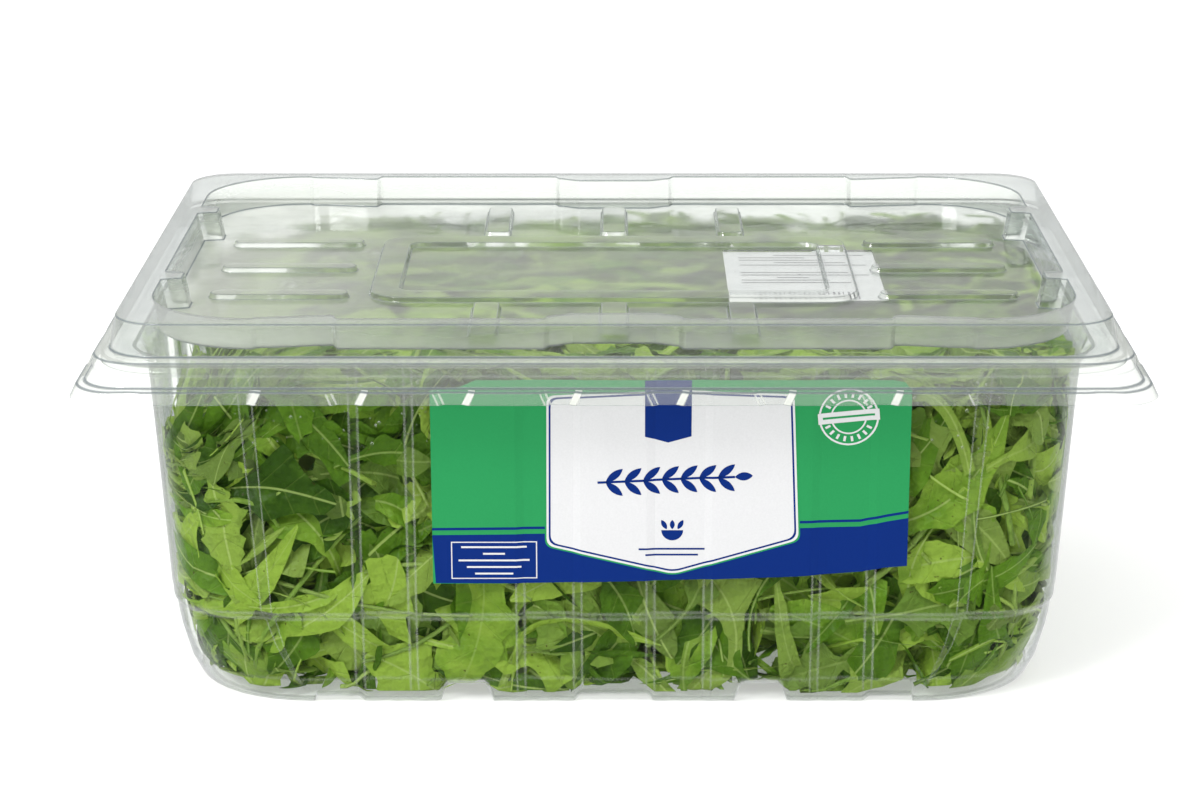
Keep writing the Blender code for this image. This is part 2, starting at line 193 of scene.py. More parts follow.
def creased(start, end, step, creases, near):
    """Even places from start to end, with a place at each crease and one close by on either side."""
    places = [p for p in spaced(start, end, step)
              if all(abs(p - crease) > 1.6 * near for crease in creases)]
    for crease in creases:
        places += [p for p in (crease - near, crease, crease + near) if start <= p <= end]
    return sorted(places)


def crease_places(walls):
    """Where each wall folds: at all its knots but the first and the last."""
    return {side: [place for place, _ in knots[1:-1]] for side, knots in walls.items()}


def ring_quarter(half_x, half_y, radius, long_stations, short_stations, corner):
    """Quarter of a rounded rectangle, from the middle of a long side to the middle of a short side.

    Each entry is the point, its outward direction, the side it is on and its place there. In a corner
    the place runs 0 to 1 up to the arc, 1 to 2 round it and 2 to 3 after it.
    """
    before, arc_steps, after = corner
    arc_x, arc_y = half_x - radius, half_y - radius
    run_x, run_y = arc_x - long_stations[-1], arc_y - short_stations[-1]
    quarter = [((x, half_y), (0, 1), "long", x) for x in long_stations]
    for share in before:
        quarter.append(((long_stations[-1] + run_x * share, half_y), (0, 1), "corner", share))
    for step in range(1, arc_steps + 1):
        turn = math.pi / 2 * step / arc_steps
        out = (math.sin(turn), math.cos(turn))
        quarter.append(((arc_x + radius * out[0], arc_y + radius * out[1]), out, "corner",
                        1 + step / arc_steps))
    for share in after:
        quarter.append(((half_x, arc_y - run_y * share), (1, 0), "corner", 2 + share))
    quarter += [((half_x, y), (1, 0), "short", y) for y in reversed(short_stations)]
    return quarter


def ring_points(quarter, z, outward, raised=None):
    """Whole ring from its quarter; outward and raised read (side, place) and move a point out or up."""
    points = []
    for (x, y), (nx, ny), side, place in quarter:
        move = outward(side, place)
        points.append((x + nx * move, y + ny * move, z + (raised(side, place) if raised else 0.0)))
    half = points + [(x, -y, z) for x, y, z in reversed(points[:-1])]
    return half + [(-x, y, z) for x, y, z in reversed(half[1:-1])]


def all_round(values):
    """Values of a whole ring from those of its quarter."""
    half = values + values[-2::-1]
    return half + half[-2:0:-1]


def ring_lines(quarter, row_line, creases, share):
    """Fold line strength all round a ring: the row's own, or the crease's where one crosses the row."""
    return all_round([
        max(row_line, share if any(abs(place - crease) < 1e-6 for crease in creases[side]) else 0.0)
        for _, _, side, place in quarter])


def new_sheet():
    """Empty bmesh with a layer each for mist, painted fold lines and a painted haze."""
    bm = bmesh.new()
    for layer in SHEET_LAYERS:
        bm.verts.layers.float.new(layer)
    return bm


def draw_lines(bm, ring, lines):
    layer = bm.verts.layers.float["fold"]
    for vert, value in zip(ring, lines):
        vert[layer] = value


def ring_edges(bm, ring):
    return [bm.edges.get((a, b)) for a, b in zip(ring, ring[1:] + ring[:1])]


def next_ring(bm, ring, points):
    """Extrude a closed ring of vertices and lay the new ring on the given points; None starts one."""
    if ring is None:
        ring = [bm.verts.new(p) for p in points]
        for a, b in zip(ring, ring[1:] + ring[:1]):
            bm.edges.new((a, b))
        return ring
    out = bmesh.ops.extrude_edge_only(bm, edges=ring_edges(bm, ring))
    fresh = {v for v in out["geom"] if isinstance(v, bmesh.types.BMVert)}
    moved = []
    for vert, point in zip(ring, points):
        twin = next(e.other_vert(vert) for e in vert.link_edges if e.other_vert(vert) in fresh)
        twin.co = point
        moved.append(twin)
    return moved


def turn_faces(bm, towards):
    """Turn all faces the same way, so that the one furthest in a direction faces that way."""
    bmesh.ops.recalc_face_normals(bm, faces=bm.faces)
    end = max(bm.faces, key=lambda f: f.calc_center_median().dot(towards))
    if end.normal.dot(towards) < 0:
        bmesh.ops.reverse_faces(bm, faces=bm.faces)


def film_piece(name, bm, material, wave_height, node):
    """Piece of clear sheet with its thickness; the cut edge all round takes its second material."""
    piece = new_piece(name, bm, [clear_pet(material, wave_height), EDGE], node)
    solidify = piece.modifiers.new("Film", "SOLIDIFY")
    solidify.material_offset_rim = 1
    solidify.thickness = FILM
    solidify.offset = -1
    solidify.use_even_offset = False
    return piece


def spaced(start, end, step):
    """Even places from start to end, both included."""
    count = max(1, round((end - start) / step))
    return [start + (end - start) * i / count for i in range(count + 1)]


def body_inset(z):
    """Distance from the lid's rim line in to the tray's wall at a height."""
    return BODY_IN + DRAFT * (BODY_TOP - z)


# Clear film

SHEET_LAYERS = ("mist", "fold", "painted_haze")
SHARP_BEND = 0.7  # radians: a fold this sharp, or sharper, shows its line in full
LINE_SHARE = 0.62  # share of a full fold line that is painted over the clear film
SOFT_REACH, SOFT_STEPS = 0.0010, 3  # how far a fold's bend reaches from its corner, and its steps
CREASE_SIDE = 0.0006  # half width of an upright crease's line, in metres


def clear_pet(name, wave_height):
    """Clear PET sheet, thermoformed over a mould: mirror-smooth and colourless face on, with a bright
    sheen at a slant, a painted grey line along each fold standing in for the shade the bent sheet throws, a
    painted haze standing in for what it mirrors and bends, and a breath of mist where leaves sweat under it."""
    material, add = new_material(name)
    place = add("TexCoord")["Object"]
    # the sheet is never quite flat: slow waves 25 mm apart bend what it mirrors
    waves = add("TexNoise", {"Vector": place, "Scale": 1 / 0.025, "Detail": 1.5})["Fac"]
    wavy = add("Bump", {"Height": waves, "Distance": wave_height, "Strength": 1.0})["Normal"]
    facing = add("LayerWeight", {"Blend": 0.5, "Normal": wavy})["Facing"]
    # mirror share at one face of PET, index 1.57: 5 % face on, rising with the slant
    slant = add("Math", {0: facing, 1: 5.0}, operation="POWER")[0]
    mirror = add("Math", {0: slant, 1: 0.951, 2: 0.049}, operation="MULTIPLY_ADD")[0]
    # partly painted shade: the film lets less light through at a slant, partly for its longer path through
    # the sheet, partly in place of the light that its bends turn away
    edge = add("ValToRGB", {0: facing})[0]
    ramp = edge.node.color_ramp
    ramp.elements[0].position, ramp.elements[0].color = 0.70, srgb("#FEFFFE")
    ramp.elements[1].position, ramp.elements[1].color = 0.99, srgb("#7C8889")
    ramp.elements.new(0.93).color = srgb("#E4E9E9")
    clear = add("BsdfTransparent", {"Color": edge})[0]
    # mist blurs what is seen through it, in soft patches 40 mm wide; light still passes to the leaves
    patches = add("TexNoise", {"Vector": place, "Scale": 1 / 0.040, "Detail": 3.0})["Fac"]
    damp = add("MapRange", {"Value": patches, 1: 0.35, 2: 0.65, 3: 0.55, 4: 0.95})[0]
    mist, fold, painted_haze = (add("Attribute", attribute_name=layer)["Fac"] for layer in SHEET_LAYERS)
    misty = add("Math", {0: damp, 1: mist}, operation="MULTIPLY")[0]
    # none where the paper label lies against the film
    low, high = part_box("top_label")
    along = add("SeparateXYZ", {0: place})
    over = [add("Math", {0: along[axis], 1: (low[axis] + high[axis]) / 2, 2: (high[axis] - low[axis]) / 2},
                operation="COMPARE")[0] for axis in (0, 1)]
    dry = add("Math", {0: over[0], 1: over[1]}, operation="MULTIPLY")[0]
    wet = add("Math", {0: 1.0, 1: dry}, operation="SUBTRACT")[0]
    for factor in (wet, add("LightPath")["Is Camera Ray"]):
        misty = add("Math", {0: misty, 1: factor}, operation="MULTIPLY")[0]
    blur = add("BsdfRefraction", {"Color": srgb("#FAFCF9"), "Roughness": 0.42, "IOR": 1.22})[0]
    through = add("MixShader", {0: misty, 1: clear, 2: blur})[0]
    gloss = add("BsdfGlossy", {"Roughness": 0.05, "Normal": wavy})[0]
    film = add("MixShader", {0: mirror, 1: through, 2: gloss})[0]
    # painted shade: a darker grey matt line along each fold stands in for the light the bent sheet turns
    # away, and the painted haze layer lays a paler matt grey-white in place of what the film mirrors
    line = add("Math", {0: fold, 1: LINE_SHARE}, operation="MULTIPLY")[0]
    share = add("Math", {0: line, 1: painted_haze}, operation="MAXIMUM")[0]
    tone = add("Mix", {"Factor": fold, 6: srgb("#CBCEC6"), 7: srgb("#6C7578")}, data_type="RGBA")[2]
    painted_light_and_shade = add("BsdfDiffuse", {"Color": tone})[0]
    add("OutputMaterial", {"Surface": add("MixShader", {0: share, 1: film, 2: painted_light_and_shade})[0]})
    return material


def cut_edge():
    """Die-cut edge of the clear sheet: light that ran inside the sheet leaves there, so it shows as a
    greyish white line."""
    material, add = new_material("clear_pet_cut_edge")
    ragged = add("TexNoise", {"Vector": add("TexCoord")["Object"], "Scale": 1 / 0.004, "Detail": 2.0})["Fac"]
    tone = add("Mix", {"Factor": ragged, 6: srgb("#8D9899"), 7: srgb("#DDE3E3")}, data_type="RGBA")[2]
    clear = add("BsdfTransparent", {"Color": tone})[0]
    painted_light_and_shade = add("BsdfDiffuse", {"Color": tone})[0]
    add("OutputMaterial", {"Surface": add("MixShader", {0: 0.5, 1: clear, 2: painted_light_and_shade})[0]})
    return material


# Tray

FLUTES = {
    "long": ((0, 0), (0.012, 0), (0.015, -1), (0.033, -1), (0.036, 0), (0.073, 0), (0.076, -1),
             (0.093, -1), (0.096, 0), (0.108, 0)),
    "short": ((0, 0), (0.012, 0), (0.015, -1), (0.033, -1), (0.036, 0), (0.060, 0)),
    "corner": ((0, 0), (0.60, 0), (0.73, -1), (2.15, -1), (2.30, 0), (3, 0)),
}
FLUTE_CREASES = crease_places(FLUTES)
TRAY_LONG = creased(0, 0.108, 0.0015, FLUTE_CREASES["long"], CREASE_SIDE)
TRAY_SHORT = creased(0, 0.060, 0.0015, FLUTE_CREASES["short"], CREASE_SIDE)
TRAY_CORNER = (creased(0.08, 1.0, 0.06, FLUTE_CREASES["corner"][:2], 0.012), 10,
               creased(0.08, 0.92, 0.08, [place - 2 for place in FLUTE_CREASES["corner"][2:]], 0.012))


def flute(side, place):
    """Grooves down the long and short walls, and corners set back from the flat panels."""
    return FLUTE_DEPTH * eased(FLUTES[side], place)


def fine_flute(side, place):
    """Narrow ribs below the ledge, a pitch of 9 mm, between the wide ones."""
    return 0.0 if side == "corner" else 0.00045 * (math.cos(2 * math.pi * place / 0.009) - 1)


# low arches in the middle and outer bays, and a tall one between the feet
ARCHES = {
    "long": ((0, 0.0027), (0.012, 0.0027), (0.015, 0), (0.045, 0), (0.048, 0.007), (0.062, 0.007),
             (0.065, 0), (0.093, 0), (0.096, 0.002)),
    "short": ((0, 0.0027), (0.012, 0.0027), (0.015, 0), (0.036, 0), (0.060, 0.002)),
    "corner": ((0, 0.002), (0.6, 0.002), (0.7, 0), (2.2, 0), (2.4, 0.002), (3, 0.002)),
}


def foot_lift(side, place):
    """Height of the arches between the feet."""
    return eased(ARCHES[side], place)


def make_tray():
    step_in = body_inset(STEP_Z)
    # distance inside the rim line, height, corner radius, flutes, fine flutes, feet
    section = (
        (-0.0056, 0.1342, 0.024, 0, 0, 0),
        (-0.0056, 0.1371, 0.024, 0, 0, 0),
        (0.0050, 0.1371, 0.023, 0, 0, 0),
        (body_inset(0.129), 0.129, 0.026, 1, 0, 0),
        (step_in, STEP_Z + 0.001, 0.029, 1, 0, 0),
        (step_in + STEP_IN, STEP_Z - 0.001, 0.030, 1, 0.6, 0),
        (body_inset(0.024) + STEP_IN, 0.024, 0.034, 1, 1, 0),
        (body_inset(0.010) + 0.0022, 0.010, 0.041, 1, 1, 0),
        (0.0205, 0.0, 0.046, 0, 0.3, 1),
        (0.0245, 0.0, 0.042, 0, 0, 1),
        (0.0290, FLOOR_Z, 0.038, 0, 0, 0.2),
        (0.0400, FLOOR_Z, 0.032, 0, 0, 0),
    )
    bm = new_sheet()
    ring = None
    for inset, z, radius, fluted, fine, footed, line in soften(section, SOFT_REACH, SOFT_STEPS):
        quarter = ring_quarter(RIM_X - inset, RIM_Y - inset, radius, TRAY_LONG, TRAY_SHORT, TRAY_CORNER)
        points = ring_points(quarter, max(z, 0.0),
                             lambda side, at: fluted * flute(side, at) + fine * fine_flute(side, at),
                             lambda side, at: footed * foot_lift(side, at))
        ring = next_ring(bm, ring, points)
        strength = line * (0.45 if z < STEP_Z + 0.002 else 0.8)  # the painted fold lines are fainter below the ledge
        draw_lines(bm, ring, ring_lines(quarter, strength, FLUTE_CREASES, 0.26 * min(1.0, 3 * fluted)))
    bm.faces.new(ring)
    turn_faces(bm, Vector((0, 0, -1)))
    film_piece("tray_film", bm, "clear_pet_tray", 0.0004, "tray")


# Lid

NOTCHES = {
    "long": ((0, 1), (0.0126, 1), (0.0146, 0), (0.0234, 0), (0.0254, 1), (0.0506, 1), (0.0526, 0),
             (0.0614, 0), (0.0634, 1), (0.0886, 1), (0.0906, 0), (0.0994, 0), (0.1014, 1), (0.1266, 1),
             (0.1286, 0)),
    "short": ((0, 1), (0.0126, 1), (0.0146, 0), (0.0234, 0), (0.0254, 1), (0.0506, 1), (0.0526, 0),
              (0.0614, 0), (0.0634, 1)),
    "corner": ((0, 0), (0.18, 0), (0.23, 1), (0.82, 1), (0.87, 0), (1.04, 0), (1.12, 1), (2.36, 1),
               (2.40, 0), (2.56, 0), (2.60, 1), (3, 1)),
}
NOTCH_CREASES = crease_places(NOTCHES)
LID_LONG = creased(0, 0.1286, 0.003, NOTCH_CREASES["long"], CREASE_SIDE)
LID_SHORT = creased(0, 0.0634, 0.003, NOTCH_CREASES["short"], CREASE_SIDE)
LID_CORNER = (spaced(0.04, 1.0, 0.04), 12, spaced(0.04, 0.96, 0.04))
# extra width of the flat rim: a wide pad in the middle, a stepped one near each end, side lugs
SWELLS = {
    "long": ((0, 0.008), (0.0146, 0.008), (0.0234, 0.004), (0.0254, 0), (0.0994, 0), (0.1014, 0.005),
             (0.1266, 0.002), (0.1286, 0.0015)),
    "short": ((0, 0), (0.0506, 0), (0.0526, 0.0075), (0.0614, 0.0075), (0.0634, 0)),
    "corner": ((0, 0.0015), (1, 0), (3, 0)),
}
GAP_PITCH = 0.038
GAP_SIDE = (0.0044, 0.0064)  # where the side of a gap starts and ends, from its middle
GAP_CLEAR = 0.0095  # how far from its middle a gap moves the film
GAP_LEAN = 0.55  # run of a gap's side for each metre up it
GAP_MIDDLE_Z = 0.1273
FLANGE_TOP, FLANGE_LOW, SKIRT_TOP = 0.1395, 0.1384, 0.1337  # heights between the lid's zones


def notch(side, place):
    """Tabs round the skirt stand out; the short gaps between them, a pitch of 38 mm, stay back."""
    return eased(NOTCHES[side], place)


def from_gap(side, place):
    """Distance from the middle of the nearest gap between two tabs; none in the corners."""
    return 0.0 if side == "corner" else place % GAP_PITCH - GAP_PITCH / 2


def lean_gaps(quarter, amount):
    """Quarter ring with the sides of each gap moved apart by an amount, so that a gap is widest on top."""
    moved = []
    for (x, y), out, side, place in quarter:
        away = from_gap(side, place)
        share = float(np.interp(abs(away), (0, *GAP_SIDE, GAP_CLEAR), (0, 1, 1, 0)))
        slide = amount * math.copysign(share, away)
        moved.append(((x + slide * out[1], y + slide * out[0]), out, side, place))
    return moved


def rim_swell(side, place):
    return -eased(SWELLS[side], place)


def rounded_outline(centre, half, radius, arc_steps):
    """Points of a rounded rectangle, anticlockwise."""
    points = []
    for quadrant, signs in enumerate(((1, 1), (-1, 1), (-1, -1), (1, -1))):
        for step in range(arc_steps + 1):
            turn = math.pi / 2 * (quadrant + step / arc_steps)
            points.append([middle + sign * (reach - radius) + radius * way for middle, sign, reach, way in
                           zip(centre, signs, half, (math.cos(turn), math.sin(turn)))])
    return points


def at_height(points, z):
    return [(x, y, z) for x, y in points]


# share of the slope's run and of its height, and its fold line, from the foot to the top of a raised shape
SLOPE = ((-0.7, 0, 0), (-0.3, 0, 0), (0, 0.03, 1), (0.3, 0.14, 0.1), (0.7, 0.86, 0.1), (1.0, 0.97, 1),
         (1.3, 1, 0), (1.7, 1, 0))
SLOPE_RUN = 0.0010


def rise(bm, ring, slope, inwards, centre, half, radius, arc_steps):
    """Rings up or down one slope of a raised shape; gives back the last ring and the first one's edges."""
    foot_edges = None
    for share, up, line in slope:
        shrink = inwards * SLOPE_RUN * share
        outline = rounded_outline(centre, [reach - shrink for reach in half], max(radius - shrink, 0.0004),
                                  arc_steps)
        ring = next_ring(bm, ring, at_height(outline, RECESS_FLOOR + PANEL_EMBOSS * up))
        draw_lines(bm, ring, [float(line)] * len(ring))
        foot_edges = foot_edges or ring_edges(bm, ring)
    return ring, foot_edges


def emboss(bm, centre, half, radius, arc_steps):
    """Raised pad on the lid's panel with sloped, rounded sides; gives back the edges of its foot."""
    ring, foot_edges = rise(bm, None, SLOPE, 1, centre, half, radius, arc_steps)
    bm.faces.new(ring)
    return foot_edges


def racetrack(bm):
    """Raised ring round the middle of the panel; gives back the edges of its outer foot."""
    ring, foot_edges = rise(bm, None, SLOPE, 1, (0, 0), (0.094, 0.053), 0.014, 6)
    ring, _ = rise(bm, ring, SLOPE[::-1], -1, (0, 0), (0.0817, 0.040), 0.005, 6)
    bm.faces.new(ring)
    return foot_edges


def mist_and_painted_haze(bm):
    """Mist under the panel, and a painted haze, a matt grey-white standing in for what the film mirrors and
    bends, that is strongest on the flange and down the skirt's ends.
    """
    mist, painted_haze = (bm.verts.layers.float[layer] for layer in ("mist", "painted_haze"))
    for vert in bm.verts:
        x, y, z = vert.co
        inside = abs(x) < RIM_X - 0.008 and abs(y) < RIM_Y - 0.005
        if inside and RECESS_FLOOR - 0.0001 < z < RECESS_FLOOR + PANEL_EMBOSS + 0.0001:
            flat = min(abs(z - RECESS_FLOOR), abs(z - RECESS_FLOOR - PANEL_EMBOSS)) < 0.0002
            vert[mist] = 1.0 if flat else 0.6
            vert[painted_haze] = 0.21 * float(ramp_up(-x, 0.060, 0.140))  # painted light: the haze is stronger on the left end, where the light falls
        elif z > FLANGE_TOP:
            vert[mist] = 0.10
            vert[painted_haze] = 0.0 if inside else 0.05 * float(ramp_up(0.150 - z, 0.0, 0.008))
        elif z > FLANGE_LOW:
            vert[painted_haze] = 0.22
        elif z > SKIRT_TOP:
            vert[painted_haze] = 0.13
        else:
            vert[painted_haze] = 0.07 + 0.12 * float(ramp_up(abs(x), RIM_X - 0.012, RIM_X + 0.004))


def make_lid():
    # distance inside the rim line, height, corner radius, how far the tabs stand out
    section = (
        (TAB_OUT - 0.015, 0.1252, 0.014, TAB_OUT),
        (TAB_OUT - 0.0146, 0.1259, 0.014, TAB_OUT),
        (-0.0121, 0.1295, 0.015, 0.75 * TAB_OUT),
        (-0.0100, 0.1300, 0.015, 0),
        (-0.0078, 0.1340, 0.017, 0),
        (-0.0074, 0.1386, 0.017, 0),
        (-0.0022, 0.1393, 0.018, 0),
        (-0.0002, LID_TOP - 0.0005, 0.018, 0),
        (0.0006, LID_TOP, 0.018, 0),
    )
    bm = new_sheet()
    glinting = []
    ring = None
    for inset, z, radius, tab, line in soften(section, 0.8 * SOFT_REACH, SOFT_STEPS):
        quarter = ring_quarter(RIM_X - inset, RIM_Y - inset, radius, LID_LONG, LID_SHORT, LID_CORNER)
        quarter = lean_gaps(quarter, GAP_LEAN * (z - GAP_MIDDLE_Z) * min(1.0, 2 * tab / TAB_OUT))
        points = ring_points(quarter, z, lambda side, place: tab * notch(side, place))
        ring = next_ring(bm, ring, points)
        draw_lines(bm, ring, [line] * len(ring))
        if tab > 0.4 * TAB_OUT:
            # painted highlight: a gap's right side, as seen from the front, is painted as a glint all over,
            # the other one along its folds
            glints = ring_lines(quarter, 0.0, NOTCH_CREASES, 0.45)
            away = all_round([from_gap(side, place) if side == "long" else 0.0
                              for _, _, side, place in quarter])
            for vert, glint, off in zip(ring, glints, away):
                lit = GAP_SIDE[0] - 1e-6 < abs(off) < GAP_SIDE[1] + 1e-6 and off * vert.co.x > 0
                glinting.append((vert, 0.85 if lit else glint))
    # the recess: wide round corners, a rim 10 mm wide at the ends and 7 mm along the long sides
    recess = ((-0.0012, LID_TOP, 0.039), (0.0, LID_TOP, 0.039), (0.0022, RECESS_FLOOR, 0.037),
              (0.0036, RECESS_FLOOR, 0.036))  # distance inside the rim, height, corner radius
    for draft, z, radius, line in soften(recess, 0.8 * SOFT_REACH, SOFT_STEPS):
        quarter = ring_quarter(RIM_X - 0.010 - draft, RIM_Y - 0.007 - draft, radius, LID_LONG, LID_SHORT,
                               LID_CORNER)
        ring = next_ring(bm, ring, ring_points(quarter, z, rim_swell))
        draw_lines(bm, ring, [line] * len(ring))
    floor_edges = ring_edges(bm, ring)
    for side in (-1, 1):
        for y in (-0.0435, 0.0, 0.0435):
            floor_edges += emboss(bm, (side * 0.128, y), (0.027, 0.0048), 0.0047, 6)
        for x in (-0.048, 0.0, 0.048):
            floor_edges += emboss(bm, (x, side * 0.0830), (0.0056, 0.0245), 0.003, 3)
    floor_edges += racetrack(bm)
    bmesh.ops.triangle_fill(bm, edges=floor_edges, use_beauty=True, normal=(0, 0, 1))
    turn_faces(bm, Vector((0, 0, 1)))
    mist_and_painted_haze(bm)
    # the painted glints go into the painted haze layer
    painted_haze = bm.verts.layers.float["painted_haze"]
    for vert, glint in glinting:
        vert[painted_haze] = max(vert[painted_haze], glint)
    lid = film_piece("lid_film", bm, "clear_pet_lid", 0.0005, "lid")
    weighted = lid.modifiers.new("Flat panel", "WEIGHTED_NORMAL")
    weighted.keep_sharp = True


# Leaves

def heap_limit(z, depth):
    """Half sizes and corner radius of the space that the leaves fill at a height, pressed by the film."""
    inset = body_inset(z) + HEAP_GAP + depth
    low = np.clip((STEP_Z - z) / STEP_Z, 0, 1)
    inset = inset + np.where(z < STEP_Z, STEP_IN, 0) + 0.0055 * low ** 2
    return RIM_X - inset, RIM_Y - inset, 0.030 + 0.014 * low


def sunk(x, y, z):
    """How far the top of the heap has settled: least in front, most at the back and the left end."""
    settled = 0.013 * ramp_up(y, 0.02, 0.115) + 0.032 * ramp_up(-x, 0.112, 0.164)
    return ramp_up(z, 0.060, HEAP_HIGH) * settled


def press_inside(points, depth):
    """Press points back into the heap's space, each leaf at its own small depth behind the film."""
    x, y, z = points[..., 0], points[..., 1], points[..., 2]
    z = z - sunk(x, y, z)
    # the lowest leaves reach down between the feet's walls, round the floor's edge
    ax, ay = np.abs(x), np.abs(y)
    long_foot = np.interp(ax, TRAY_LONG, [foot_lift("long", at) for at in TRAY_LONG])
    short_foot = np.interp(ay, TRAY_SHORT, [foot_lift("short", at) for at in TRAY_SHORT])
    foot = np.where(ay > RIM_Y - FOOT_IN, long_foot, np.where(ax > RIM_X - FOOT_IN, short_foot, 1.0))
    z = np.clip(z, np.minimum(HEAP_LOW, foot + 0.0018) + depth, HEAP_HIGH - depth)
    half_x, half_y, radius = heap_limit(z, depth)
    beyond_x, beyond_y = np.maximum(ax - (half_x - radius), 0), np.maximum(ay - (half_y - radius), 0)
    reach = np.hypot(beyond_x, beyond_y)
    outside = (beyond_x > 0) & (beyond_y > 0) & (reach > radius)
    pull = np.where(outside, radius / np.maximum(reach, 1e-9), 1.0)
    ax = np.where(beyond_x > 0, half_x - radius + beyond_x * pull, ax)
    ay = np.where(beyond_y > 0, half_y - radius + beyond_y * pull, ay)
    ax, ay = np.minimum(ax, half_x), np.minimum(ay, half_y)
    return np.stack((np.copysign(ax, x), np.copysign(ay, y), z), -1)


def soft_stop(depth, reach):
    """Depths past zero ease off towards it, as a springy leaf lies against the film."""
    return -reach * np.logaddexp(0, -depth / reach)


def leaf_green():
    """Rocket leaf, a living blade under a thin wax bloom: satin, mid green with a pale rib and fine
    side veins, duller and greyer on its underside, and lit from behind where light comes through."""
    material, add = new_material("rocket_leaf_fresh")
    place, mood = (add("SeparateXYZ", {0: add("Attribute", attribute_name=layer)["Color"]})
                   for layer in ("leaf_place", "leaf_mood"))
    along, across = place[0], place[1]  # in tenths of a metre
    aside = add("Math", {0: across}, operation="ABSOLUTE")[0]
    # pale rib, 0.9 mm wide
    rib = add("MapRange", {"Value": aside, 1: 0.0022, 2: 0.0062, 3: 1.0, 4: 0.0},
              interpolation_type="SMOOTHSTEP")[0]
    # side veins about 5.5 mm apart, swept towards the tip
    swept = add("Math", {0: aside, 1: -0.75, 2: along}, operation="MULTIPLY_ADD")[0]
    saw = add("Math", {0: swept, 1: 0.055}, operation="PINGPONG")[0]
    vein = add("MapRange", {"Value": saw, 1: 0.0, 2: 0.0055, 3: 1.0, 4: 0.0},
               interpolation_type="SMOOTHSTEP")[0]
    # mottle 12 mm wide, puckers 7 mm from one to the next between the veins, bruises and a fine grain
    where = add("TexCoord")["Object"]
    mottle, pucker, bruise, fine = (
        add("TexNoise", {"Vector": where, "Scale": 1 / size, "Detail": detail})["Fac"]
        for size, detail in ((0.012, 3.0), (0.007, 2.0), (0.0016, 1.0), (0.0012, 2.0)))
    # each leaf has its own depth of green, and drifts a little from patch to patch
    shade = add("Math", {0: mottle, 1: 0.7, 2: mood[0]}, operation="MULTIPLY_ADD")[0]
    green = add("ValToRGB", {0: shade})[0]
    ramp = green.node.color_ramp
    ramp.elements[0].position, ramp.elements[0].color = 0.15, srgb("#34560C")
    ramp.elements[1].position, ramp.elements[1].color = 1.15, srgb("#9ABA44")
    ramp.elements.new(0.65).color = srgb("#638F1B")
    # a few brown specks under a millimetre wide, where a leaf has been bruised
    speck = add("MapRange", {"Value": bruise, 1: 0.735, 2: 0.775, 3: 0.0, 4: 0.75},
                interpolation_type="SMOOTHSTEP")[0]
    veined = add("Math", {0: vein, 1: 0.17}, operation="MULTIPLY")[0]
    ribbed = add("Math", {0: rib, 1: mood[2]}, operation="MULTIPLY")[0]
    colour = green
    for factor, over in ((mood[1], "#7E9548"), (speck, "#4A3A14"), (veined, "#96B050"), (ribbed, "#B4CA74")):
        colour = add("Mix", {"Factor": factor, 6: colour, 7: srgb(over)}, data_type="RGBA")[2]
    puckered = add("Bump", {"Height": pucker, "Distance": 0.0050, "Strength": 0.75})[0]
    relief = add("Math", {0: vein, 1: -0.6, 2: fine}, operation="MULTIPLY_ADD")[0]
    bump = add("Bump", {"Height": relief, "Distance": 0.0004, "Strength": 0.8, "Normal": puckered})[0]
    leaf = add("BsdfPrincipled", {"Base Color": colour, "Roughness": 0.40, "IOR": 1.42,
                                  "Specular IOR Level": 0.28, "Normal": bump})[0]
    glow = add("BsdfTranslucent", {"Color": colour, "Normal": bump})[0]
    add("OutputMaterial", {"Surface": add("MixShader", {0: 0.25, 1: leaf, 2: glow})[0]})
    return material


def make_core():
    """Lumpy block of packed leaves behind the ones that show. Little light reaches it: soft green lumps,
    8 mm across, that are paler where a rib or a stalk comes near."""
    bm = bmesh.new()
    bmesh.ops.create_cube(bm, size=2.0)
    bmesh.ops.subdivide_edges(bm, edges=bm.edges, cuts=30, use_grid_fill=True)
    box = np.array([v.co for v in bm.verts]) * (0.165, 0.118, 0.064) + (0, 0, 0.070)
    lumps = np.array([noise.noise(Vector(p) * 60) for p in box])
    for vert, place in zip(bm.verts, press_inside(box, CORE_DEPTH + 0.003 * lumps)):
        vert.co = place
    packed_green = mottled("packed_leaf_shadow", 0.008, 3.0, "#6E8E32", "#A8C45C", 0.8)
    new_piece("packed_leaves", bm, [packed_green], "salad_leaves")


def shape_arrays(bm):
    """Places and faces of a small shape as arrays; its bmesh is freed."""
    bm.verts.index_update()
    places = np.array([v.co for v in bm.verts])
    faces = np.array([[v.index for v in f.verts] for f in bm.faces])
    bm.free()
    return places, faces


def grid_template(stations, columns):
    """Flat strip: t along it, s across it from -1 to 1, and its faces."""
    bm = bmesh.new()
    bmesh.ops.create_grid(bm, x_segments=stations, y_segments=columns, size=1.0)
    places, faces = shape_arrays(bm)
    return (places[:, 0] + 1) / 2, places[:, 1], faces


def tube_template(stations, sides):
    """Closed tube: t along it, its round section as two offsets, and its faces."""
    bm = bmesh.new()
    bmesh.ops.create_cone(bm, cap_ends=True, cap_tris=True, segments=sides, radius1=1, radius2=1, depth=1)
    rails = [e for e in bm.edges if abs(e.verts[0].co.z - e.verts[1].co.z) > 0.5]
    bmesh.ops.subdivide_edges(bm, edges=rails, cuts=stations - 1)
    bmesh.ops.triangulate(bm, faces=bm.faces)
    places, faces = shape_arrays(bm)
    return places[:, 2] + 0.5, places[:, :2], faces


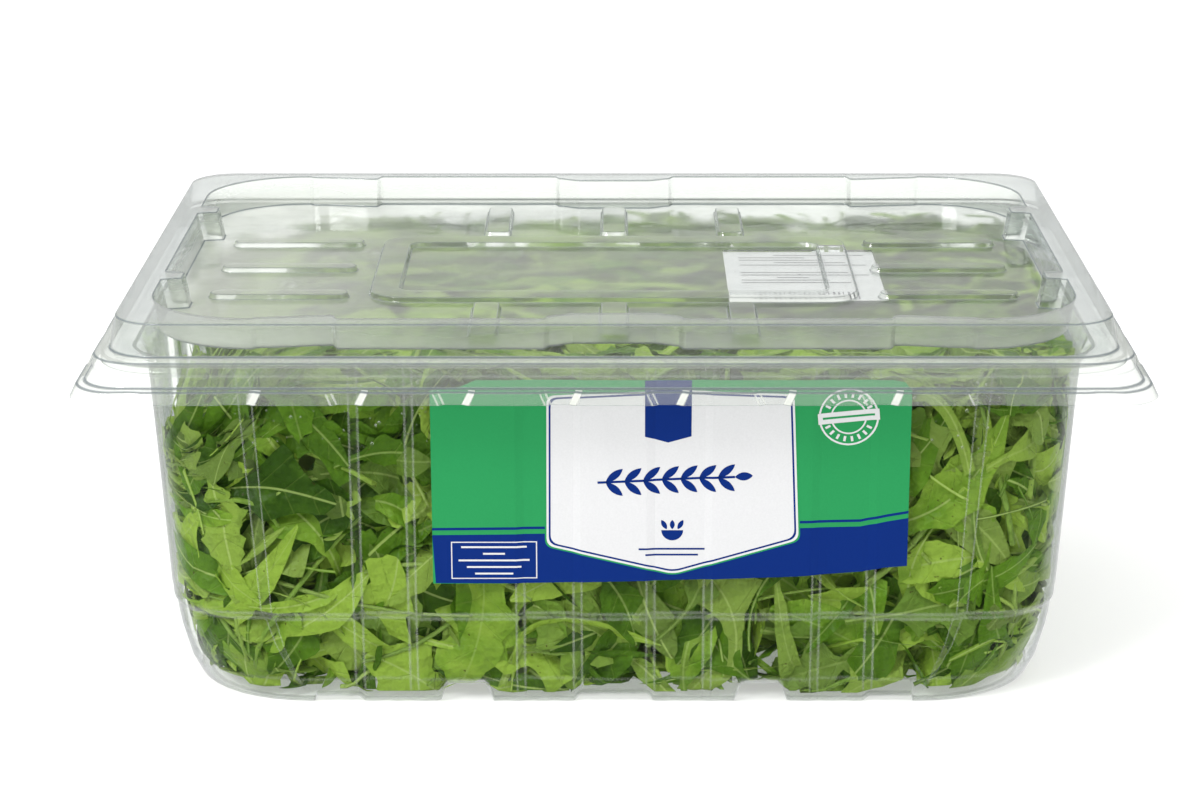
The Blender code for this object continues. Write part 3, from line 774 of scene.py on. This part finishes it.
def perimeter_spot(z, share):
    """Point on the heap's side at a height, by its share of the way round, and its outward direction."""
    half_x, half_y, radius = (float(v) for v in heap_limit(np.float64(z), 0.0))
    flat_x, flat_y, arc = 2 * (half_x - radius), 2 * (half_y - radius), math.pi / 2 * radius
    travel = share * 2 * (flat_x + flat_y + 2 * arc)
    lengths = (flat_x, arc, flat_y, arc) * 2
    leg = 0
    while travel > lengths[leg]:
        travel -= lengths[leg]
        leg += 1
    turn = (leg // 2) * math.pi / 2 + (travel / radius if leg % 2 else 0.0) - math.pi / 2
    out = Vector((math.cos(turn), math.sin(turn), 0))
    if leg % 2:
        corner = Vector((1 if leg in (1, 3) else -1, 1 if leg in (3, 5) else -1, 0))
        centre = Vector((corner.x * (half_x - radius), corner.y * (half_y - radius), 0))
        return centre + out * radius + Vector((0, 0, z)), out
    start = {0: (-flat_x / 2, -half_y), 2: (half_x, -flat_y / 2), 4: (flat_x / 2, half_y),
             6: (-half_x, flat_y / 2)}[leg]
    forward = Vector((-out.y, out.x, 0))
    return Vector((*start, z)) + forward * travel, out


def lay_spots(on_sides, on_top, on_bottom):
    """Where the leaves lie: the centre and the outward direction of each."""
    spots = []
    for i in range(on_sides):
        share = (i + rng.uniform(0, 1)) / on_sides  # one in each even stretch of the way round
        spots.append(perimeter_spot(rng.uniform(HEAP_LOW, HEAP_HIGH - 0.002), share))
    for count, z, up in ((on_top, HEAP_HIGH, 1), (on_bottom, HEAP_LOW, -1)):
        half_x, half_y, _ = heap_limit(np.float64(z), 0.0)
        for _ in range(count):
            x, y = (rng.uniform(-1, 1) * (half - 0.004) for half in (half_x, half_y))
            spots.append((Vector((x, y, z)), Vector((0, 0, up))))
    return spots


def lie(out):
    """Random way for a leaf to lie: the directions along it and across it, both square to the way out."""
    turn = rng.uniform(0, 2 * math.pi)
    side = out.orthogonal().normalized()
    along = math.cos(turn) * side + math.sin(turn) * out.cross(side)
    return along, out.cross(along)


def join_mesh(name, points, faces):
    """One mesh from many copies of a shape: points is (copies, vertices, 3), faces are the shape's."""
    copies, verts = points.shape[:2]
    size = faces.shape[1]
    all_faces = (faces[None] + np.arange(copies)[:, None, None] * verts).reshape(-1)
    mesh = bpy.data.meshes.new(name)
    mesh.vertices.add(copies * verts)
    mesh.vertices.foreach_set("co", points.reshape(-1).astype(np.float32))
    mesh.loops.add(len(all_faces))
    mesh.loops.foreach_set("vertex_index", all_faces.astype(np.int32))
    mesh.polygons.add(len(all_faces) // size)
    mesh.polygons.foreach_set("loop_start", np.arange(0, len(all_faces), size, dtype=np.int32))
    mesh.update(calc_edges=True)
    return mesh


def join_pieces(name, points, faces, places, moods, material):
    """One piece from many leaves, with each point's place on its leaf and each leaf's mood as colours."""
    mesh = join_mesh(name, np.array(points), faces)
    for layer, values in (("leaf_place", places), ("leaf_mood", moods)):
        colours = np.ones((len(mesh.vertices), 4), np.float32)
        colours[:, :3] = np.array(values).reshape(-1, 3)
        attribute = mesh.color_attributes.new(layer, "FLOAT_COLOR", "POINT")
        attribute.data.foreach_set("color", colours.reshape(-1))
    new_piece(name, mesh, [material], "salad_leaves")


def blade_share(t, habit):
    """0 up the stalk, then 0 to 1 along the blade."""
    return np.clip((t - habit["stalk"]) / (1 - habit["stalk"]), 0, 1)


def leaf_outline(t, kind, habit):
    """Half width along a leaf as a share of its widest, from the foot of the stalk to the tip."""
    blade = blade_share(t, habit)
    teeth = 1 - habit["teeth"] * np.abs(np.sin(np.pi * (habit["lobes"] * 2.3 * blade + habit["phase"])))
    if kind == "lobed":
        body = np.sin(np.pi * (0.06 + 0.94 * blade) ** 1.25) ** 0.75
        swing = 0.5 + 0.5 * np.cos(2 * np.pi * (habit["lobes"] * (1 - blade) ** 0.85 + 0.45))
        deep = habit["cut"] * np.clip(1.3 - 1.0 * blade, 0, 1)
        return body * (1 - deep * swing) * teeth
    if kind == "oval":
        return np.sin(np.pi * blade ** 1.15) ** 0.8 * (0.4 + 0.6 * teeth)
    body = np.sin(np.pi * blade ** 0.9) ** 0.9
    return body * (1 - habit["cut"] * 0.5 * (0.5 + 0.5 * np.cos(2 * np.pi * habit["lobes"] * 1.6 * blade)))


# of each kind of leaf: stations and columns, least and greatest half width, and share of the full length
LEAF_KINDS = {
    "lobed": ((28, 6), (0.009, 0.0185), 1.0),
    "oval": ((16, 6), (0.006, 0.0120), 1.0),
    "young": ((14, 4), (0.003, 0.006), 0.7),
}


def make_leaf_kind(name, kind, spots, sink, material):
    """Lay one kind of leaf at each spot, bent, twisted and pressed inside the film, sink deep in the heap."""
    grid, _, scale = LEAF_KINDS[kind]
    t, s, faces = grid_template(*grid)
    points, places, moods = [], [], []
    for centre, out in spots:
        habit = {"stalk": rng.uniform(0.18, 0.42), "lobes": rng.uniform(1.8, 3.6),
                 "cut": rng.uniform(0.40, 0.88), "teeth": rng.uniform(0.05, 0.30), "phase": rng.uniform(0, 1)}
        length = rng.uniform(0.042, 0.086) * scale
        half_width = {of: rng.uniform(*span) for of, (_, span, _) in LEAF_KINDS.items()}[kind]
        width = rng.uniform(0.0006, 0.0010) + half_width * leaf_outline(t, kind, habit)
        # the two halves of a leaf never match: one runs a little ahead of the other
        uneven = 1 + 0.16 * np.sin(2 * math.pi * (1.5 * t + habit["phase"])) * np.sign(s)
        along, beside = lie(out)
        lean, roll = rng.normal(0, 0.28), rng.normal(0, 0.45)
        if rng.random() < 0.10:  # a few stand on edge
            roll = rng.uniform(0.9, 1.4) * rng.choice((-1, 1))
        u = (t - 0.55) * length
        v = s * width * uneven
        bend = rng.normal(0, 0.60)  # sideways sweep of the rib
        arch, fold = rng.normal(0.5, 0.9), rng.normal(0.35, 0.60)
        ripple, phase = rng.uniform(0.0006, 0.0030), rng.uniform(0, 6.28)
        pitch = rng.uniform(0.010, 0.019)  # from one wave of the margin to the next
        blade = blade_share(t, habit)
        sweep = bend * (t - 0.45) ** 2 * length
        wavy = ripple * np.sin(2 * math.pi * t * length / pitch + phase + 1.3 * np.sign(s)) * s ** 2 * blade
        twist = roll + rng.normal(0, 0.7) * (t - 0.4)
        # arched along the rib, leaning, folded up along it, wavy at its margin and thicker at the rib
        lift = (-arch * (t - 0.5) ** 2 * length + lean * (t - 0.5) * length + fold * np.abs(v) * 0.6 + wavy
                + 0.0007 * (1 - s * s) * (1 - blade))
        depth = soft_stop(lift + v * np.sin(twist) - rng.uniform(0.0, 0.014), 0.0028) - sink
        here = (np.array(centre) + np.outer(u, along) + np.outer(v * np.cos(twist) + sweep, beside)
                + np.outer(depth, out))
        points.append(press_inside(here, rng.uniform(0.0, 0.0016)))
        places.append(np.stack((t * length * 10, v * 10, width * 10), -1))
        under = float(rng.random() < 0.30)
        mood = (rng.uniform(-0.20, 0.94), under * rng.uniform(0.3, 0.8), rng.uniform(0.25, 0.8))
        moods.append(np.tile(mood, (len(t), 1)))
    join_pieces(name, points, faces, places, moods, material)


def make_stalks(spots, material):
    """Loose stalks, round and pale, bent across the leaves."""
    t, section, faces = tube_template(9, 6)
    points, places, moods = [], [], []
    for centre, out in spots:
        length, thick = rng.uniform(0.035, 0.085), rng.uniform(0.0007, 0.0014)
        along, beside = lie(out)
        bow, lean = rng.normal(0, 0.35), rng.normal(0, 0.15)
        radius = thick * (1.15 - 0.5 * t)
        u = (t - 0.5) * length
        here = (np.array(centre) + np.outer(u, along)
                + np.outer(bow * (t - 0.5) ** 2 * length + section[:, 0] * radius, beside)
                + np.outer(lean * u + section[:, 1] * radius - rng.uniform(0.001, 0.008), out))
        points.append(press_inside(here, 0.0004 + radius * (1 - section[:, 1])))
        places.append(np.stack((t * length * 10, 0 * t, 0 * t + thick * 10), -1))
        moods.append(np.tile((rng.uniform(0.2, 0.6), 0.0, rng.uniform(0.2, 0.65)), (len(t), 1)))
    join_pieces("rocket_stalks", points, faces, places, moods, material)


# leaves on the sides, on top and at the bottom of the heap, in each piece of a kind
LEAF_SPOTS = {"lobed": ((400, 130, 30), (380, 120, 20)), "oval": ((330, 100, 20), (260, 80, 20)),
              "young": ((230, 60, 10),)}
STALK_SPOTS = (130, 30, 10)
SECOND_SINK = 0.0045  # how much deeper the second piece of a kind lies


def make_heap():
    material = leaf_green()
    make_core()
    for kind, pieces in LEAF_SPOTS.items():
        for number, spots in enumerate(pieces):
            make_leaf_kind(f"rocket_leaves_{kind}_{number + 1}", kind, lay_spots(*spots),
                           SECOND_SINK * number, material)
    make_stalks(lay_spots(*STALK_SPOTS), material)


# Dew

def make_dew():
    """Small drops of water inside the film: under the rim on all walls, and under the lid's panel."""
    water, add = new_material("dew_water")
    shiver = add("TexNoise", {"Vector": add("TexCoord")["Object"], "Scale": 1 / 0.0008})["Fac"]
    bump = add("Bump", {"Height": shiver, "Distance": 0.0001, "Strength": 0.5})[0]
    drop = add("BsdfPrincipled", {"Base Color": srgb("#FFFFFF"), "Roughness": 0.03, "IOR": 1.33,
                                  "Transmission Weight": 1.0, "Normal": bump})[0]
    add("OutputMaterial", {"Surface": drop})
    bm = bmesh.new()
    bmesh.ops.create_icosphere(bm, subdivisions=1, radius=1.0)
    ball, faces = shape_arrays(bm)
    drops = []
    for i in range(WALL_DROPS + PANEL_DROPS):
        radius = 0.00022 + 0.00045 * rng.random() ** 3
        if i < WALL_DROPS:
            z = 0.1275 - 0.030 * rng.random() ** 2
            centre, out = perimeter_spot(z, rng.random())
            side = "long" if abs(out.y) > 0.999 else "short" if abs(out.x) > 0.999 else None
            if side is None:
                continue
            dip = flute(side, abs(centre.x if side == "long" else centre.y))
            centre = centre + out * (HEAP_GAP - FILM - 0.6 * radius + dip)
        else:
            out = Vector((0, 0, 1))
            centre = Vector((rng.uniform(-0.150, 0.150), rng.uniform(-0.105, 0.105),
                             RECESS_FLOOR - FILM - 0.6 * radius))
        flat = ball - np.outer(ball @ np.array(out), out) * 0.4
        drops.append(np.array(centre) + flat * radius)
    new_piece("dew_drops", join_mesh("dew_drops", np.array(drops), faces), [water])


# Labels

def wall_y(z):
    """Outer face of the front wall's flat panels."""
    return -(RIM_Y - body_inset(z))


def printed_film(name, colour):
    """White polypropylene label film, flexo printed and varnished: even satin ink with a faint mottle."""
    material, add = new_material(name)
    where = add("TexCoord")["Object"]
    mottle = add("TexNoise", {"Vector": where, "Scale": 1 / 0.0007, "Detail": 2.0})["Fac"]
    value = add("MapRange", {"Value": mottle, 3: 0.94, 4: 1.06})[0]
    ink = add("HueSaturation", {"Color": srgb(colour), "Value": value})[0]
    # the sheet bridges the grooves behind it, so slow waves run down it
    stretched = add("Mapping", {"Vector": where, "Scale": (1, 1, 0.35)})[0]
    waves = add("TexNoise", {"Vector": stretched, "Scale": 1 / 0.016, "Detail": 2.0})["Fac"]
    bump = add("Bump", {"Height": waves, "Distance": 0.0006, "Strength": 0.6})[0]
    film = add("BsdfPrincipled", {"Base Color": ink, "Roughness": 0.42, "Specular IOR Level": 0.08,
                                  "Normal": bump})[0]
    add("OutputMaterial", {"Surface": film})
    return material


def with_neighbours(corners):
    """Each corner of a closed outline between the one before it and the one after it."""
    points = [Vector(corner) for corner in corners]
    return zip(points[-1:] + points[:-1], points, points[1:] + points[:1])


def offset_corners(corners, grow):
    """Corners of an anticlockwise polygon with each side moved out by grow."""
    moved = []
    for a, b, c in with_neighbours(corners):
        first, second = (b - a).normalized(), (c - b).normalized()
        out_first, out_second = Vector((first.y, -first.x)), Vector((second.y, -second.x))
        turn = 1 + out_first.dot(out_second)
        moved.append(b + (out_first + out_second) * grow / turn)
    return moved


def round_corners(corners, radius, steps=5):
    """Polygon with each corner turned into a small curve."""
    outline = []
    for a, b, c in with_neighbours(corners):
        start, end = (b + (other - b).normalized() * min(radius, (other - b).length * 0.45)
                      for other in (a, c))
        outline += curve(start, b, end, steps)
    return outline


def disc(centre, radius, start=0.0, end=2 * math.pi, steps=40):
    return [Vector((centre[0] + radius * math.cos(start + (end - start) * i / steps),
                    centre[1] + radius * math.sin(start + (end - start) * i / steps)))
            for i in range(steps if end - start > 6.28 else steps + 1)]


def bar(x0, z0, x1, z1, height):
    """Straight bar between two points."""
    a, b = Vector((x0, z0)), Vector((x1, z1))
    side = (b - a).normalized().orthogonal() * height / 2
    if side.y <= 0:
        side = -side
    return [a - side, b - side, b + side, a + side]


def leaf_shape(foot, tip, half_width, steps=10):
    """Plain pointed leaf between two points."""
    foot, tip = Vector(foot), Vector(tip)
    side = Vector((tip.y - foot.y, foot.x - tip.x)).normalized()
    there_and_back = [(i, 1) for i in range(steps + 1)] + [(i, -1) for i in range(steps - 1, 0, -1)]
    return [foot.lerp(tip, i / steps) + side * sign * half_width * math.sin(math.pi * i / steps) ** 0.8
            for i, sign in there_and_back]


def rectangle(x0, y0, x1, y1):
    return [(x0, y0), (x1, y0), (x1, y1), (x0, y1)]


LABEL_OUTLINE = ((-0.0635, 0.0497), (-0.030, 0.0498), (0.031, 0.0512), (0.067, 0.0525), (0.091, 0.0543),
                 (0.099, 0.0560), (0.1075, 0.0567), (0.1075, 0.1245), (0.1050, 0.1277), (0.1010, 0.1285),
                 (-0.0500, 0.1285), (-0.0560, 0.1258), (-0.0665, 0.1246), (-0.0665, 0.0497))
BAND_TOP = ((-0.0665, 0.0688), (-0.0227, 0.0692), (0.0655, 0.0715), (0.0900, 0.0720), (0.1000, 0.0742),
            (0.1075, 0.0755))
SHIELD = ((-0.0223, 0.0664), (0.0217, 0.0558), (0.0651, 0.0687), (0.0628, 0.1209), (0.0213, 0.1224),
          (-0.0220, 0.1202))
LABEL_CUTS = spaced(-0.066, 0.105, 0.003)  # upright lines along which the sheet and its inks may bend
LABEL_LEVELS = spaced(0.055, 0.120, 0.009)  # level ones
INK_STEP = 0.00003  # from one layer of ink to the next, far thicker than real, so that both show


def print_fields():
    """Fields of colour on the front label, from the sheet up: ink, height in layers, outline."""
    band = [Vector(p) for p in BAND_TOP]
    lift = Vector((0, 0.0018))
    line = Vector((0, 0.0010))
    yield "blue", 1, [(-0.0655, 0.0499), *LABEL_OUTLINE[1:7], *band[::-1]]
    yield "blue", 1, [p + lift for p in band] + [p + lift + line for p in band[::-1]]
    # shield, one outline inside the other
    for grow, ink, layer in ((0.0030, "green", 2), (0.0024, "white", 3), (0.0016, "blue", 4),
                             (0.0009, "white", 5)):
        yield ink, layer, round_corners(offset_corners(SHIELD, grow), 0.003)
    # tab at its top, with a white line round it
    for ink, layer, left, right, top, foot, tip in (
            ("blue", 7, 0.0112, 0.0281, 0.1284, 0.1070, 0.1046),
            ("white", 6, 0.0106, 0.0287, 0.1222, 0.1066, 0.1040)):
        yield ink, layer, ((left, foot), (0.0196, tip), (right, foot), (right, top), (left, top))
    # sprig in the middle of the shield
    yield "blue", 7, bar(-0.0060, 0.0893, 0.0440, 0.0915, 0.0009)
    for i in range(7):
        x, z = -0.003 + 0.0068 * i, 0.0894 + 0.0003 * i
        for side in (-1, 1):
            yield "blue", 7, leaf_shape((x, z), (x + 0.0062, z + side * 0.0052), 0.0014)
    yield "blue", 7, leaf_shape((0.0440, 0.0915), (0.0505, 0.0920), 0.0016)
    # small bowl with leaves, and two thin lines below it
    yield "blue", 7, disc((0.0213, 0.0706), 0.0040, math.pi, 2 * math.pi, 14)
    for lean in (-0.5, 0.0, 0.5):
        yield "blue", 7, leaf_shape((0.0213 + lean * 0.004, 0.0710), (0.0213 + lean * 0.008, 0.0746), 0.0009)
    yield "blue", 7, bar(0.0090, 0.0633, 0.0332, 0.0633, 0.0007)
    yield "blue", 7, bar(0.0115, 0.0610, 0.0308, 0.0610, 0.0007)
    # round stamp with a band across it
    stamp = (0.0849, 0.1144)
    for radius, ink, layer in ((0.0109, "white", 1), (0.0102, "green", 2), (0.0066, "white", 3),
                               (0.0060, "green", 4)):
        yield ink, layer, disc(stamp, radius)
    for i in range(20):
        turn = 2 * math.pi * (i + 0.5) / 20
        ray = Vector((math.cos(turn), math.sin(turn)))
        if abs(ray.y) > 0.35:
            yield "white", 5, bar(*(Vector(stamp) + ray * 0.0074), *(Vector(stamp) + ray * 0.0094), 0.0009)
    yield "white", 6, bar(0.0738, 0.1135, 0.0960, 0.1157, 0.0042)
    yield "green", 7, bar(0.0755, 0.1137, 0.0943, 0.1155, 0.0008)
    # outlined box with plain lines
    yield "white", 2, rectangle(-0.0597, 0.0516, -0.0282, 0.0662)
    yield "blue", 3, rectangle(-0.0593, 0.0520, -0.0286, 0.0658)
    for i, (start, end) in enumerate(((-0.051, -0.037), (-0.054, -0.034), (-0.057, -0.031), (-0.048, -0.040),
                                      (-0.056, -0.032))):
        z = 0.0537 + 0.0026 * i
        yield "white", 4, bar(start, z, end, z, 0.0007)


def label_point(x, lift, z):
    """Place on the label's sheet: it dips a little over the wall's grooves, straight from cut to cut."""
    dips = [0.0006 * flute("long", abs(cut)) / FLUTE_DEPTH for cut in LABEL_CUTS]
    return Vector((x, wall_y(z) - LABEL_GAP - lift - np.interp(x, LABEL_CUTS, dips), z))


def make_front_label():
    inks = {"green": "#278B50", "blue": "#04276F", "white": "#CDCDCE"}
    order = list(inks)
    bm = bmesh.new()
    sheet = bm.faces.new([bm.verts.new((x, 0, z)) for x, z in LABEL_OUTLINE])
    back = bmesh.ops.extrude_face_region(bm, geom=[sheet])
    for vert in (g for g in back["geom"] if isinstance(g, bmesh.types.BMVert)):
        vert.co.y = 0.0002
    for face in bm.faces:
        face.material_index = order.index("green")
    for ink, layer, outline in print_fields():
        face = bm.faces.new([bm.verts.new((x, -INK_STEP * layer, z)) for x, z in outline])
        face.material_index = order.index(ink)
        face.normal_update()
        if face.normal.y > 0:
            face.normal_flip()
    bmesh.ops.triangulate(bm, faces=bm.faces)
    cuts = [((x, 0, 0), (1, 0, 0)) for x in LABEL_CUTS] + [((0, 0, z), (0, 0, 1)) for z in LABEL_LEVELS]
    for place, across in cuts:
        bmesh.ops.bisect_plane(bm, geom=bm.verts[:] + bm.edges[:] + bm.faces[:], plane_co=place,
                               plane_no=across)
    for vert in bm.verts:
        vert.co = label_point(vert.co.x, -vert.co.y, vert.co.z)
    materials = [printed_film(f"printed_pp_{ink}", inks[ink]) for ink in order]
    new_piece("front_label_print", bm, materials, "front_label", smooth=False)


def make_top_label():
    """Small white label under the lid's panel, with plain grey lines and upright bars on it. Its paper is
    matt with a faint grain of fibres, and its print is the soft dark grey of a heated print head."""
    low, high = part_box("top_label")
    paper = mottled("thermal_paper_white", 0.0009, 3.0, "#D6D6D5", "#E4E4E4", 0.7)
    ink = mottled("thermal_print_grey", 0.0006, 2.0, "#2C2E32", "#4C4E52", 0.6)
    bm = bmesh.new()
    bmesh.ops.create_cube(bm, size=1.0)
    for vert in bm.verts:
        vert.co = [(a + b) / 2 + side * (b - a) for a, b, side in zip(low, high, vert.co)]
    marks = []
    for i in range(12):
        if i in (5, 6):
            continue
        y = high[1] - 0.006 - 0.0042 * i
        start = low[0] + (0.006 if i % 3 else 0.020)
        end = high[0] - 0.004 - (0.008 * ((i * 7) % 4))
        marks.append(rectangle(start, y - 0.0007, end, y + 0.0007))
    for i in range(22):
        x = low[0] + 0.010 + 0.0019 * i
        wide = 0.0004 + 0.0005 * ((i * 5) % 3) / 2
        marks.append(rectangle(x, low[1] + 0.004, x + wide, low[1] + 0.016))
    for mark in marks:
        face = bm.faces.new([bm.verts.new(p) for p in at_height(mark, high[2] + INK_STEP)])
        face.material_index = 1
    new_piece("top_label_paper", bm, [paper, ink], "top_label", smooth=False)


# Studio

LIT_POINT = Vector((0, 0, 0.07))  # near the middle of the tub, where both lamps point


def make_studio():
    scene = bpy.context.scene
    scene.world = bpy.data.worlds.new("studio")
    scene.world.use_nodes = True
    scene.world.node_tree.nodes.clear()
    add = functools.partial(add_node, scene.world.node_tree)
    # white all round, but for a black flag low in front of the tub and grey ones at its sides, so that its
    # walls mirror no haze; the flags are hidden from the camera
    way = add("SeparateXYZ", {0: add("TexCoord")["Generated"]})
    flag = add("Math", {0: 1.0, 1: add("LightPath")["Is Camera Ray"]}, operation="SUBTRACT")[0]
    for axis, start, end, least, most in ((1, -0.80, -0.50, 1.0, 0.85), (1, 0.0, 0.45, 1.0, 0.0),
                                          (2, 0.0, 0.30, 1.0, 0.0)):
        part = add("MapRange", {"Value": way[axis], 1: start, 2: end, 3: least, 4: most},
                   interpolation_type="SMOOTHSTEP")[0]
        flag = add("Math", {0: flag, 1: part}, operation="MULTIPLY")[0]
    sky = add("Math", {0: flag, 1: -1.0, 2: 1.03}, operation="MULTIPLY_ADD")[0]
    add("OutputWorld", {0: add("Background", {"Color": srgb("#FFFFFF"), "Strength": sky})[0]})

    bm = bmesh.new()
    bmesh.ops.create_grid(bm, x_segments=1, y_segments=1, size=6.0)
    mesh = mesh_from("floor", bm)
    # opal acrylic, lit a little from below, so that the clear feet stay bright
    paint, add = new_material("opal_acrylic_floor")
    white = add("BsdfDiffuse", {"Color": srgb("#D8D8D8")})[0]
    glow = add("Emission", {"Color": srgb("#FFFFFF"), "Strength": 0.42})[0]
    add("OutputMaterial", {"Surface": add("AddShader", {0: white, 1: glow})[0]})
    mesh.materials.append(paint)
    floor = in_scene("floor", mesh)
    floor.visible_glossy = False
    floor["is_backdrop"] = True

    for name, place, size, power in (("key", (-0.8, -1.1, 1.3), 0.6, 22),
                                     ("fill", (1.3, -1.0, 1.1), 1.2, 4)):
        light = bpy.data.lights.new(name, "AREA")
        light.size = size
        light.energy = power
        lamp = in_scene(name, light)
        lamp.location = place
        lamp.rotation_euler = (LIT_POINT - Vector(place)).to_track_quat("-Z", "Y").to_euler()

    camera_data = bpy.data.cameras.new("camera")
    camera_data.lens = 99.0
    camera_data.sensor_width = 36.0
    camera_data.shift_x = -14 / 1200
    camera = in_scene("camera", camera_data)
    camera.location = (0.0, -1.2684, 0.4445)
    camera.rotation_euler = (math.radians(90 - 15.77), 0.0, 0.0)
    scene.camera = camera
    scene.view_settings.view_transform = "Standard"
    scene.cycles.transparent_max_bounces = 32  # the lid's film is crossed many times


EDGE = cut_edge()
make_studio()
make_tray()
make_lid()
make_heap()
make_dew()
make_front_label()
make_top_label()

dressed_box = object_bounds()
[[list(corner) for corner in box] for box in (cad_box, dressed_box)]
